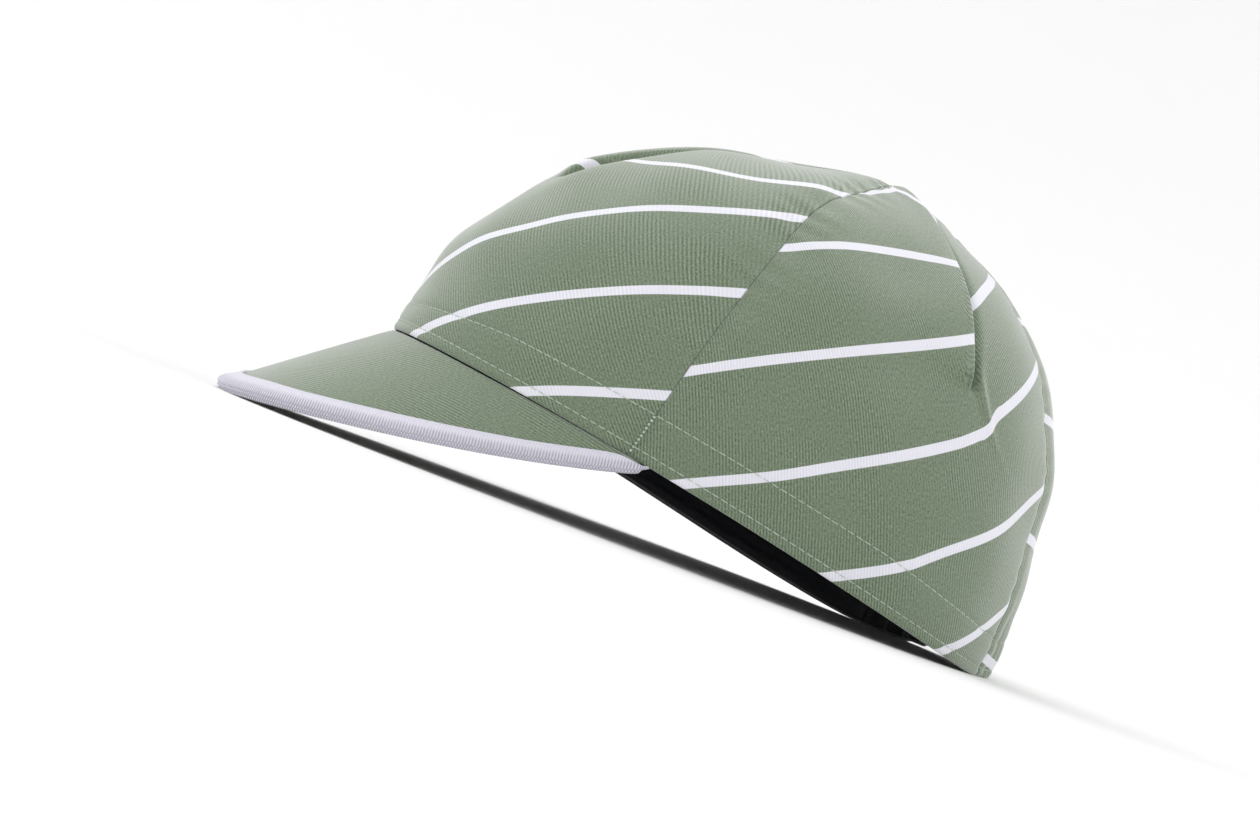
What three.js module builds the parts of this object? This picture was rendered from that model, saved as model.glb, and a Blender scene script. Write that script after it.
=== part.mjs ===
// Cycling cap: a soft crown of four panels, a short turned-down peak with a bound edge, a band
// inside the front and sides, and a gathered elastic inside the back. It rests on the edge of
// its peak and on the rear of its hem, as it does on a table.
//
// Millimetres, +Z up from the table, front towards -Y, the wearer's left towards +X.
// The crown is worked out on its own hem plane first and is then stood on the table.
// turn is the angle round the head, from the front towards the wearer's left, and rise is the
// share of the way from the hem (0) to the top of the crown (1).
import * as THREE from "three";

const degrees = THREE.MathUtils.degToRad;

// Head opening, measured from its widest station
const HEAD_FRONT_REACH = 127;
const HEAD_BACK_REACH = 65;
const HEAD_WIDTH = 154;
const HEAD_SQUARENESS = 2.1;

// The hem rises a little at the sides and the back, and arches up at the middle of the back
const HEM_SIDE_RISE = 3.3;
const HEM_BACK_RISE = 4.2;
const HEM_BACK_ARCH = 6;
const ARCH_SHARPNESS = 8;

// Crown
const CROWN_HEIGHT = 110;
const CROWN_TOP_FORWARD = 30;
const PANEL_WALL = 1.2;
const GAP = 0.32;

// Reach of the crown at each level, as shares of the head opening's own reaches, narrowed
// towards the top by a quarter wave
const CROWN_LEVELS = [
  { rise: 0.0, front: 1.0, back: 1.0, side: 1.0 },
  { rise: 0.2, front: 1.016, back: 0.971, side: 1.065 },
  { rise: 0.4, front: 0.99, back: 1.029, side: 1.104 },
  { rise: 0.6, front: 0.917, back: 1.142, side: 1.089 },
  { rise: 0.8, front: 0.671, back: 1.249, side: 0.95 },
  { rise: 1.0, front: 0.483, back: 1.313, side: 0.834 },
];

// Seams and darts of the wearer's left half, as the turn in degrees at the hem and how it
// changes towards the top. A dart starts part of the way up.
const FRONT_SEAM = { hem: 57, lean: 4.7, bow: -22.8 };
const BACK_SEAM = { hem: 141, lean: -4, bow: 4 };
const FRONT_DART = { hem: 0, lean: 0, bow: 0, from: 0.36 };
const SIDE_DART = { hem: 97.3, lean: -4.5, bow: -3.9, from: 0.42 };
const SEAM_DEPTH = 0.9;
const SEAM_WIDTH = 3.2;
const DART_DEPTH = 1.6;
const DART_FADE = 0.12;
const FOLD_LIFT = 1.1;
const FOLD_WIDTH = 5;

// Gathers of the back hem
const GATHER_COUNT = 9;
const GATHER_DEPTH = 1.1;
const GATHER_REACH = 22;

// Bands inside the hem
const BAND_HEIGHT = 13;
const SWEATBAND_WALL = 1.2;
const ELASTIC_WALL = 2.0;

// Peak: a flat board bent round straight lines that run forwards and down
const PEAK_SLOPE = degrees(48.5);
const PEAK_LENGTH = 51.5;
const PEAK_HALF_WIDTH = 87.7;
const PEAK_OUTLINE = { squareness: 1.95, fullness: 0.92 };
const PEAK_BOARD = 1.6;
const BINDING_WALL = 1.0;
const BINDING_LEG = 8.5;
const BINDING_END = degrees(76);

// How much the soft hem flattens under the cap's weight
const HEM_PRESS = 0.5;

// Mesh detail
const HALF_PANEL_COLUMNS = { front: 11, side: 9, back: 18 };
const BAND_ROWS = 2;
const CROWN_ROWS = 12;
const TOP_RISE = 0.994;
const PEAK_COLUMNS = 30;
const PEAK_ROWS = 6;
const BINDING_COLUMNS = 36;
const NOSE_STEPS = 4;
const BEND_STEPS = 170;
const BEND_TURN = degrees(85);
const COLUMN_CROWDING = 0.55;
const PROBE = 1e-3;

function levelCurve(column) {
  return new THREE.SplineCurve(
    CROWN_LEVELS.map((level) => new THREE.Vector2(level.rise, level[column])));
}

const reachAt = {
  front: levelCurve("front"),
  back: levelCurve("back"),
  side: levelCurve("side"),
};

function signedPower(value, exponent) {
  return Math.sign(value) * Math.abs(value) ** exponent;
}

// A point of the smooth crown, before seams, darts and gathers
function smoothCrown(turn, rise) {
  const level = THREE.MathUtils.clamp(rise, 0, 1);
  const quarter = (Math.PI / 2) * rise;
  const narrowing = Math.cos(quarter);
  const roundness = 2 / THREE.MathUtils.lerp(HEAD_SQUARENESS, 2, level);
  const ahead = signedPower(Math.cos(turn), roundness);
  const aside = signedPower(Math.sin(turn), roundness);
  const lengthways = ahead > 0
    ? HEAD_FRONT_REACH * reachAt.front.getPoint(level).y
    : HEAD_BACK_REACH * reachAt.back.getPoint(level).y;
  const sideways = (HEAD_WIDTH / 2) * reachAt.side.getPoint(level).y;
  const behind = Math.max(0, -Math.cos(turn));
  const hem = HEM_SIDE_RISE * Math.sin(turn) ** 2
    + HEM_BACK_RISE * behind ** 2 + HEM_BACK_ARCH * behind ** ARCH_SHARPNESS;
  return new THREE.Vector3(
    sideways * narrowing * aside,
    -(CROWN_TOP_FORWARD * (1 - narrowing) + lengthways * narrowing * ahead),
    hem * (1 - level) ** 2 + CROWN_HEIGHT * Math.sin(quarter));
}

function lineTurn(line, rise) {
  return degrees(line.hem + line.lean * rise + line.bow * rise * rise);
}

// Distance round the crown from a seam or dart, positive towards larger turns
function distanceFrom(line, turn, rise, mirror = 1) {
  const narrowing = Math.cos((Math.PI / 2) * rise);
  return (turn - mirror * lineTurn(line, rise)) * (HEAD_WIDTH / 2) * narrowing;
}

function dartFade(dart, rise) {
  return THREE.MathUtils.smoothstep(rise, dart.from - DART_FADE / 2, dart.from + DART_FADE);
}

function hump(distance, width) {
  return Math.exp(-((distance / width) ** 2));
}

// Share of the way across the back panel, from the wearer's right seam to the left one
function backShare(turn) {
  const half = Math.PI - lineTurn(BACK_SEAM, 0);
  const fromCentre = THREE.MathUtils.euclideanModulo(turn, 2 * Math.PI) - Math.PI;
  return 0.5 - fromCentre / (2 * half);
}

// How far the cloth stands out from the smooth crown: seams and darts pull it in, the front
// dart's fold stands proud on the wearer's right, and the elastic gathers the back hem
function relief(round, rise) {
  const turn = Math.atan2(Math.sin(round), Math.cos(round));
  let groove = 0;
  for (const mirror of [1, -1]) {
    for (const seam of [FRONT_SEAM, BACK_SEAM]) {
      groove = Math.max(groove, SEAM_DEPTH * hump(distanceFrom(seam, turn, rise, mirror), SEAM_WIDTH));
    }
    for (const dart of [FRONT_DART, SIDE_DART]) {
      const depth = DART_DEPTH * dartFade(dart, rise);
      groove = Math.max(groove, depth * hump(distanceFrom(dart, turn, rise, mirror), SEAM_WIDTH));
    }
  }
  const fromFold = distanceFrom(FRONT_DART, turn, rise) + FOLD_WIDTH;
  const fold = FOLD_LIFT * dartFade(FRONT_DART, rise) * hump(fromFold, FOLD_WIDTH) * (1 - rise);
  const share = backShare(turn);
  let gather = 0;
  if (share > 0 && share < 1) {
    const height = CROWN_HEIGHT * Math.sin((Math.PI / 2) * rise);
    const wave = Math.cos(2 * Math.PI * GATHER_COUNT * share) * Math.sqrt(Math.sin(Math.PI * share));
    gather = GATHER_DEPTH * wave * hump(height, GATHER_REACH);
  }
  return fold + gather - groove;
}

// A point of the crown, a given depth inside its outer face
function crown(turn, rise, depth) {
  const along = smoothCrown(turn + PROBE, rise).sub(smoothCrown(turn - PROBE, rise));
  const upwards = smoothCrown(turn, rise + PROBE).sub(smoothCrown(turn, rise - PROBE));
  const outward = along.cross(upwards).normalize();
  return smoothCrown(turn, rise).addScaledVector(outward, relief(turn, rise) - depth);
}

// Columns crowd towards seams and darts, where the cloth turns most
function crowded(share) {
  return share - (COLUMN_CROWDING * Math.sin(2 * Math.PI * share)) / (2 * Math.PI);
}

// Turn of column number index between three lines: a seam, a middle line and the next seam
function columnTurn(lines, index, half, rise) {
  const [low, middle, high] = lines(rise);
  return index <= half
    ? THREE.MathUtils.lerp(low, middle, crowded(index / half))
    : THREE.MathUtils.lerp(middle, high, crowded(index / half - 1));
}

const bandRise = (2 / Math.PI) * Math.asin(BAND_HEIGHT / CROWN_HEIGHT);

function crownRise(row) {
  return row <= BAND_ROWS
    ? (bandRise * row) / BAND_ROWS
    : THREE.MathUtils.lerp(bandRise, TOP_RISE, (row - BAND_ROWS) / (CROWN_ROWS - BAND_ROWS));
}

// Half the seam gap as a turn, so that neighbours stay the same distance apart up to the top
function gapTurn(turn, rise) {
  const step = smoothCrown(turn + PROBE, rise).distanceTo(smoothCrown(turn - PROBE, rise));
  return (GAP / 2) * ((2 * PROBE) / step);
}

function between(low, middle, high) {
  return (rise) => {
    const start = low(rise);
    const end = high(rise);
    return [start + gapTurn(start, rise), middle(rise), end - gapTurn(end, rise)];
  };
}

const frontLines = between(
  (rise) => -lineTurn(FRONT_SEAM, rise), () => 0, (rise) => lineTurn(FRONT_SEAM, rise));
const leftLines = between(
  (rise) => lineTurn(FRONT_SEAM, rise),
  (rise) => lineTurn(SIDE_DART, rise),
  (rise) => lineTurn(BACK_SEAM, rise));
const rightLines = between(
  (rise) => -lineTurn(BACK_SEAM, rise),
  (rise) => -lineTurn(SIDE_DART, rise),
  (rise) => -lineTurn(FRONT_SEAM, rise));
const backLines = between(
  (rise) => lineTurn(BACK_SEAM, rise),
  () => Math.PI,
  (rise) => 2 * Math.PI - lineTurn(BACK_SEAM, rise));

// The peak's bend: the hem curve seen along the straight lines of the board. across is the
// distance round the bend from the middle, along is the hem's place on the straight lines.
const peakLine = new THREE.Vector3(0, -Math.cos(PEAK_SLOPE), -Math.sin(PEAK_SLOPE));
const peakRaise = new THREE.Vector3(0, -Math.sin(PEAK_SLOPE), Math.cos(PEAK_SLOPE));
const bend = [];
for (let step = 0; step <= BEND_STEPS; step += 1) {
  const hem = smoothCrown((BEND_TURN * step) / BEND_STEPS, 0);
  const place = { aside: hem.x, raise: hem.dot(peakRaise), along: hem.dot(peakLine), across: 0 };
  const last = bend[step - 1];
  if (last) {
    place.across = last.across + Math.hypot(place.aside - last.aside, place.raise - last.raise);
  }
  bend.push(place);
}

function bendAt(across) {
  const distance = Math.abs(across);
  let index = 1;
  while (index < BEND_STEPS && bend[index].across < distance) {
    index += 1;
  }
  const low = bend[index - 1];
  const high = bend[index];
  const share = (distance - low.across) / (high.across - low.across);
  const slope = Math.atan2(high.raise - low.raise, high.aside - low.aside);
  return {
    aside: THREE.MathUtils.lerp(low.aside, high.aside, share) * Math.sign(across),
    raise: THREE.MathUtils.lerp(low.raise, high.raise, share),
    along: THREE.MathUtils.lerp(low.along, high.along, share),
    slope: slope * Math.sign(across),
    lean: (high.along - low.along) / (high.across - low.across),
  };
}

// A point of the peak from its place on the flat board, a given depth under the board's top
function peak(across, along, depth) {
  const place = bendAt(across);
  const sink = depth + GAP;
  const point = new THREE.Vector3(place.aside + sink * Math.sin(place.slope), 0, -GAP);
  point.addScaledVector(peakRaise, place.raise - sink * Math.cos(place.slope));
  return point.addScaledVector(peakLine, along);
}

// Outer outline of the bound peak on the flat board, by an angle from its middle
function peakOutline(angle) {
  const corner = bendAt(PEAK_HALF_WIDTH).along;
  const fullness = (1 - Math.abs(Math.sin(angle)) ** PEAK_OUTLINE.squareness) ** PEAK_OUTLINE.fullness;
  const across = PEAK_HALF_WIDTH * Math.sin(angle);
  return new THREE.Vector2(across, corner + (bend[0].along + PEAK_LENGTH - corner) * fullness);
}

function outlineInward(angle) {
  const tangent = peakOutline(angle + PROBE).sub(peakOutline(angle - PROBE)).normalize();
  return new THREE.Vector2(tangent.y, -tangent.x);
}

// Room on the board from the outline to the hem, square to the outline
function boardRoom(angle) {
  const edge = peakOutline(angle);
  const inward = outlineInward(angle);
  const place = bendAt(edge.x);
  return (edge.y - place.along) / (Math.abs(inward.y) + Math.abs(place.lean * inward.x));
}

const noseRadius = PEAK_BOARD / 2 + GAP + BINDING_WALL;

// The binding's leg narrows smoothly where the peak runs out at its corners
function bindingLeg(angle) {
  const room = 0.75 * boardRoom(angle);
  return (BINDING_LEG ** -4 + room ** -4) ** -0.25;
}

// A point of the binding's section: share runs from the top leg's edge round the nose to the
// bottom leg's edge, and depth lies inside the binding's outer face
function binding(angle, share, depth) {
  const leg = bindingLeg(angle);
  const radius = noseRadius - depth;
  const steps = NOSE_STEPS + 2;
  const step = share * steps;
  let inset = noseRadius;
  let height = radius;
  if (step < 1) {
    inset = THREE.MathUtils.lerp(leg, noseRadius, step);
  } else if (step > steps - 1) {
    inset = THREE.MathUtils.lerp(leg, noseRadius, steps - step);
    height = -radius;
  } else {
    const round = (Math.PI * (step - 1)) / NOSE_STEPS;
    inset = noseRadius - radius * Math.sin(round);
    height = radius * Math.cos(round);
  }
  const edge = peakOutline(angle).addScaledVector(outlineInward(angle), inset);
  return peak(edge.x, edge.y, PEAK_BOARD / 2 - height);
}

function board(angle, share, depth) {
  const edge = peakOutline(angle).addScaledVector(outlineInward(angle), noseRadius);
  return peak(edge.x, THREE.MathUtils.lerp(bendAt(edge.x).along, edge.y, share), depth);
}

// The cap tips back until the peak's edge and the rear of the hem are equally low
const peakFeet = [];
const hemFeet = [];
const FEET = 80;
for (let step = 0; step <= FEET; step += 1) {
  const angle = THREE.MathUtils.lerp(-BINDING_END, BINDING_END, step / FEET);
  for (const share of [0.5, 0.6, 0.7, 0.8]) {
    peakFeet.push(binding(angle, share, 0));
  }
  hemFeet.push(crown(THREE.MathUtils.lerp(Math.PI / 2, (3 * Math.PI) / 2, step / FEET), 0, 0));
}

function tipped(point, tilt) {
  return point.clone().applyAxisAngle(new THREE.Vector3(1, 0, 0), -tilt);
}

function lowest(points, tilt) {
  return Math.min(...points.map((point) => tipped(point, tilt).z));
}

function restTilt() {
  let low = degrees(-30);
  let high = degrees(45);
  while (high - low > 1e-7) {
    const middle = (low + high) / 2;
    if (lowest(peakFeet, middle) < lowest(hemFeet, middle)) {
      low = middle;
    } else {
      high = middle;
    }
  }
  return (low + high) / 2;
}

const tilt = restTilt();
const footing = lowest(hemFeet, tilt) + HEM_PRESS;

// Stands a point of the cap on the table, where the soft edges flatten
function stand(point) {
  const placed = tipped(point, tilt);
  placed.z = Math.max(0, placed.z - footing);
  return placed;
}

// A closed cloth wall between two faces, each a function of a column and a row number
function wall(outer, inner, columns, rows) {
  const positions = [];
  const faces = [];
  const face = (columns + 1) * (rows + 1);
  for (const side of [outer, inner]) {
    for (let column = 0; column <= columns; column += 1) {
      for (let row = 0; row <= rows; row += 1) {
        positions.push(...stand(side(column, row)).toArray());
      }
    }
  }
  const at = (side, column, row) => side * face + column * (rows + 1) + row;
  const quad = (a, b, c, d) => faces.push(a, b, c, a, c, d);
  for (let column = 0; column < columns; column += 1) {
    for (let row = 0; row < rows; row += 1) {
      quad(at(0, column, row), at(0, column + 1, row), at(0, column + 1, row + 1), at(0, column, row + 1));
      quad(at(1, column, row), at(1, column, row + 1), at(1, column + 1, row + 1), at(1, column + 1, row));
    }
    quad(at(0, column, 0), at(1, column, 0), at(1, column + 1, 0), at(0, column + 1, 0));
    quad(at(0, column, rows), at(0, column + 1, rows), at(1, column + 1, rows), at(1, column, rows));
  }
  for (let row = 0; row < rows; row += 1) {
    quad(at(0, 0, row), at(0, 0, row + 1), at(1, 0, row + 1), at(1, 0, row));
    quad(at(0, columns, row), at(1, columns, row), at(1, columns, row + 1), at(0, columns, row + 1));
  }
  const geometry = new THREE.BufferGeometry();
  geometry.setAttribute("position", new THREE.Float32BufferAttribute(positions, 3));
  geometry.setIndex(faces);
  geometry.computeVertexNormals();
  return geometry;
}

function crownWall(lines, half, rows, nearDepth, farDepth) {
  const face = (depth) => (column, row) => {
    const rise = crownRise(row);
    return crown(columnTurn(lines, column, half, rise), rise, depth);
  };
  return wall(face(nearDepth), face(farDepth), 2 * half, rows);
}

// The sweatband runs on across the seams of the three panels that it lines, on their columns
function sweatbandWall() {
  const nearDepth = PANEL_WALL + GAP;
  const parts = [
    { lines: rightLines, half: HALF_PANEL_COLUMNS.side },
    { lines: frontLines, half: HALF_PANEL_COLUMNS.front },
    { lines: leftLines, half: HALF_PANEL_COLUMNS.side },
  ];
  const columns = [];
  parts.forEach(({ lines, half }, order) => {
    for (let index = order === 0 ? 0 : 1; index <= 2 * half; index += 1) {
      columns.push((rise) => columnTurn(lines, index, half, rise));
    }
  });
  const face = (depth) => (column, row) => {
    const rise = crownRise(row);
    return crown(columns[column](rise), rise, depth);
  };
  return wall(face(nearDepth), face(nearDepth + SWEATBAND_WALL), columns.length - 1, BAND_ROWS);
}

function boardWall() {
  const face = (depth) => (column, row) => {
    const angle = THREE.MathUtils.lerp(BINDING_END, -BINDING_END, column / PEAK_COLUMNS);
    return board(angle, row / PEAK_ROWS, depth);
  };
  return wall(face(0), face(PEAK_BOARD), PEAK_COLUMNS, PEAK_ROWS);
}

function bindingWall() {
  const steps = NOSE_STEPS + 2;
  const face = (depth) => (column, row) => {
    const angle = THREE.MathUtils.lerp(BINDING_END, -BINDING_END, column / BINDING_COLUMNS);
    return binding(angle, row / steps, depth);
  };
  return wall(face(0), face(BINDING_WALL), BINDING_COLUMNS, steps);
}

const sageCloth = { color: 0x7c9076, roughness: 0.9, metalness: 0 };
const whiteRib = { color: 0xe6e6ee, roughness: 0.85, metalness: 0 };
const blackWebbing = { color: 0x17181a, roughness: 0.8, metalness: 0 };

const { front, side, back } = HALF_PANEL_COLUMNS;
const elasticDepth = PANEL_WALL + GAP;
const pieces = [
  ["front_panel", crownWall(frontLines, front, CROWN_ROWS, 0, PANEL_WALL), sageCloth],
  ["side_panel_left", crownWall(leftLines, side, CROWN_ROWS, 0, PANEL_WALL), sageCloth],
  ["side_panel_right", crownWall(rightLines, side, CROWN_ROWS, 0, PANEL_WALL), sageCloth],
  ["back_panel", crownWall(backLines, back, CROWN_ROWS, 0, PANEL_WALL), sageCloth],
  ["peak", boardWall(), sageCloth],
  ["peak_binding", bindingWall(), whiteRib],
  ["sweatband", sweatbandWall(), blackWebbing],
  ["elastic_band",
    crownWall(backLines, back, BAND_ROWS, elasticDepth, elasticDepth + ELASTIC_WALL), blackWebbing],
];

const cap = new THREE.Group();
for (const [name, geometry, finish] of pieces) {
  const piece = new THREE.Mesh(geometry, new THREE.MeshStandardMaterial(finish));
  piece.name = name;
  cap.add(piece);
}

// The origin is on the table, under the middle of the cap
const middle = new THREE.Box3().setFromObject(cap).getCenter(new THREE.Vector3());
cap.position.y = -middle.y;

export default cap;
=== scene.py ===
"""Cycling cap: the cloth, bindings, bands and stitches that dress the cap's solids.

Metres, +Z up from the table, the front towards -Y, the wearer's left towards +X. The crown is
worked out on its own hem plane and is then stood on the table, tipped back onto its peak.
turn is the angle round the head from the front towards the wearer's left, and rise is the share
of the way from the hem (0) to the top of the crown (1).
"""
import math
from typing import NamedTuple

import bpy
import numpy as np
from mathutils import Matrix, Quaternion, Vector


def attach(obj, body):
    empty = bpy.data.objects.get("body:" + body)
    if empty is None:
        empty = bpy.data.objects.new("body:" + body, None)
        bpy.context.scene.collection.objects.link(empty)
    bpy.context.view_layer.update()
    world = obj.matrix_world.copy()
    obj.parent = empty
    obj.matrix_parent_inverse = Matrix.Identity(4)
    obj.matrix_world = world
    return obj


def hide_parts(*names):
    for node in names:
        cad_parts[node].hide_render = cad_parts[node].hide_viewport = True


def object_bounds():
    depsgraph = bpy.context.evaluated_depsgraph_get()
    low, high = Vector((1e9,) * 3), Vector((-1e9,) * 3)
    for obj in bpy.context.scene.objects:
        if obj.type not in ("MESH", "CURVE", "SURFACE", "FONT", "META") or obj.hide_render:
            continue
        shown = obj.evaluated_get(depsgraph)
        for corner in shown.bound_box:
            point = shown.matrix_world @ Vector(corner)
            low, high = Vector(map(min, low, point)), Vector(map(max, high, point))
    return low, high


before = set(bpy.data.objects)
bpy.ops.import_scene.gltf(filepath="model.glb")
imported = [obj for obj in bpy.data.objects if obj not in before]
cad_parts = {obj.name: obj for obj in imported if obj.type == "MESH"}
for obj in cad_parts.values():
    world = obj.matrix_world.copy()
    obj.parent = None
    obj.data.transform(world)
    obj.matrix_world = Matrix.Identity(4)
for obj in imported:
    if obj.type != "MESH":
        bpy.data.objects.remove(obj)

CAD_BOX = [list(corner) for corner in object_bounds()]

bl_info = {
    "name": "Cycling Cap",
    "version": (1, 0, 0),
    "blender": (4, 5, 0),
    "location": "View3D > Sidebar > Cycling Cap",
    "description": "Builds a striped cloth cycling cap piece by piece",
    "category": "Add Mesh",
}

MM = 0.001
PROBE = 1e-3

# Head opening, measured from its widest station
HEAD_FRONT_REACH = 127 * MM
HEAD_BACK_REACH = 65 * MM
HEAD_WIDTH = 154 * MM
HEAD_SQUARENESS = 2.1

# The hem rises a little at the sides and the back, and arches up at the middle of the back
HEM_SIDE_RISE = 3.3 * MM
HEM_BACK_RISE = 4.2 * MM
HEM_BACK_ARCH = 6 * MM
ARCH_SHARPNESS = 8

CROWN_HEIGHT = 110 * MM
CROWN_TOP_FORWARD = 30 * MM
TOP_RISE = 0.9992

# How the cap stands: tipped back on its peak, then raised and moved on the table
REST_TILT = math.radians(12.033)
REST_RAISE = 5.707 * MM
REST_BACK = 49.125 * MM


class Level(NamedTuple):
    """Reach of the crown at one rise, as shares of the head opening's own reaches."""
    rise: float
    front: float
    back: float
    side: float


CROWN_LEVELS = (
    Level(rise=0.0, front=1.0, back=1.0, side=1.0),
    Level(rise=0.2, front=1.016, back=0.971, side=1.065),
    Level(rise=0.4, front=0.99, back=1.029, side=1.104),
    Level(rise=0.6, front=0.917, back=1.142, side=1.089),
    Level(rise=0.8, front=0.671, back=1.249, side=0.95),
    Level(rise=1.0, front=0.483, back=1.313, side=0.834),
)


class Line(NamedTuple):
    """A seam, dart or fold: its turn in degrees at the hem, and how that changes with rise."""
    hem: float
    lean: float
    bow: float


FRONT_SEAM = Line(hem=57, lean=4.7, bow=-22.8)
BACK_SEAM = Line(hem=141, lean=-4, bow=4)
FRONT_DART = Line(hem=0, lean=0, bow=0)
SIDE_DART = Line(hem=97.3, lean=-4.5, bow=-3.9)
BACK_MIDDLE = Line(hem=180, lean=0, bow=0)
DART_RIDGE = Line(hem=242, lean=-614, bow=648)
RIDGE_MIDDLE = 0.42
RIDGE_REACH = 0.07
RIDGE_WIDTH = 1.9 * MM


class Dart(NamedTuple):
    """A dart: its line, the rise where it starts and over what rise below and above that it opens,
    the roll of its fold, the width of its hollow, and a pocket just above its start: how much
    deeper it is, how far above the start and over what rise."""
    line: Line
    start: float
    below: float
    above: float
    roll: float
    width: float
    pocket: float
    pocket_up: float
    pocket_reach: float


FRONT = Dart(line=FRONT_DART, start=0.37, below=0.02, above=0.03, roll=2.4 * MM, width=3.0 * MM,
             pocket=0.6, pocket_up=0.04, pocket_reach=0.035)
SIDE = Dart(line=SIDE_DART, start=0.41, below=0.012, above=0.02, roll=0.6 * MM, width=2.1 * MM,
            pocket=0.5, pocket_up=0.03, pocket_reach=0.04)
FOLD_WIDTH = 6.5 * MM
# The front dart flattens towards the top, and the cloth beside its point swells
FRONT_FLATTENING = 0.8
FLATTENING_START = 0.45
FLATTENING_END = 0.62
PUFF_WIDTH = 5 * MM
PUFF_REACH = 0.06

# Relief of the cloth
SEAM_WIDTH = 3.2 * MM
PUCKER_LENGTH = 9 * MM
PUCKER_DRIFT = 31 * MM
PUCKER_SWAY = 1.4
PUCKER_WIDTH = 6 * MM
NEAR_TOP_START = 0.92
NEAR_TOP_END = 0.985
GATHER_REACH = 22 * MM
GATHER_DRIFT = 0.012
GATHER_DRIFTS = 3.3
ROW_WIDTH = 0.9 * MM
SOFT_WAVES = 14
SHORTEST_WAVE = 18 * MM
LONGEST_WAVE = 55 * MM
WAVE_SEED = 617
CALM_HEM = 25 * MM

# How far a stripe strays, as a rise, and the distance marked where no stripe is near
PRINT_WOBBLE = 0.0009
NO_STRIPE = 1.0

# Height of the part of the crown with the closest rows of points
STITCHED_HEM = 18 * MM

# Peak: a flat board bent round straight lines that run forwards and down
PEAK_SLOPE = math.radians(48.5)
PEAK_LENGTH = 51.5 * MM
PEAK_HALF_WIDTH = 87.7 * MM
PEAK_SQUARENESS = 1.95
PEAK_FULLNESS = 0.92
# How far the peak's top lies below the hem, and how far its lip reaches in under the crown
PEAK_DROP = 0.28 * MM
PEAK_LIP = 2.0 * MM
PEAK_END = math.radians(76.5)
PEAK_GRAIN = math.radians(55)
# The cover swells a little over the board and dips where it is sewn under the crown
COVER_SWELL = 0.12 * MM
COVER_DIP = 0.12 * MM
COVER_DIP_WIDTH = 1.6 * MM
BINDING_NOSE = 2.12 * MM
BINDING_END = math.radians(84)
BINDING_TAPER = math.radians(9)
BINDING_EDGE = 0.5 * MM
# Two long lines pressed into the binding, by their turns round its nose
BINDING_LINES = (math.radians(64), math.radians(97))
BINDING_LINE_DEPTH = 0.55 * MM
BINDING_LINE_WIDTH = 0.2
BEND_TURN = math.radians(89)
BEND_STEPS = 700


class LegWidth(NamedTuple):
    """Width of the binding on the peak's top at one angle round the outline, in degrees."""
    angle: float
    width: float


BINDING_LEGS = (
    LegWidth(angle=0, width=7.8 * MM),
    LegWidth(angle=12, width=7.6 * MM),
    LegWidth(angle=22, width=6.5 * MM),
    LegWidth(angle=40, width=6.0 * MM),
    LegWidth(angle=56, width=5.4 * MM),
    LegWidth(angle=90, width=5.4 * MM),
)


class StitchRow(NamedTuple):
    """Height of the upper hem stitching above the hem at one turn in degrees."""
    turn: float
    height: float


UPPER_ROW = (
    StitchRow(turn=0, height=8.2 * MM),
    StitchRow(turn=18, height=10.2 * MM),
    StitchRow(turn=32, height=12.3 * MM),
    StitchRow(turn=90, height=14.4 * MM),
    StitchRow(turn=141, height=11.8 * MM),
    StitchRow(turn=180, height=11.8 * MM),
)
LOWER_ROW_HEIGHT = 2.9 * MM

# Clearance between the crown's cloth and a band, the sweatband's ripple and the elastic's ruffles
BAND_GAP = 0.15 * MM
RIPPLE = 0.12 * MM
RUFFLE = 0.3 * MM

# Short row of thick stitches at a front seam's foot
FOOT_ROW_START = 0.8 * MM
FOOT_ROW_END = 13.5 * MM
FOOT_THREAD = 0.75 * MM
FOOT_STITCH = 0.8 * MM
FOOT_GAP = 0.4 * MM

# Seam allowances inside the crown and their overlock threads
ALLOWANCE_HALF_WIDTH = 2.6 * MM
ALLOWANCE_BULGE = 0.8 * MM
ALLOWANCE_END = 0.95
OVERLOCK_HALF_WIDTH = 2.5 * MM
OVERLOCK_PITCH = 2.4 * MM
OVERLOCK_THREAD = 0.4 * MM
OVERLOCK_STITCH = 2.3 * MM
OVERLOCK_GAP = 0.12 * MM


class Stripe(NamedTuple):
    """Rise of a stripe's centre line at five even steps of the cloth across a half panel, and how
    far the line drops before it jumps the ridge below the side dart."""
    start: float
    quarter: float
    middle: float
    three_quarters: float
    end: float
    drop: float = 0.0


# Shares of the way across a half panel: where a drop is full, and where the line jumps back
DROP_FULL = 0.2
JUMP_START = 0.14
JUMP_END = 0.25

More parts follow.
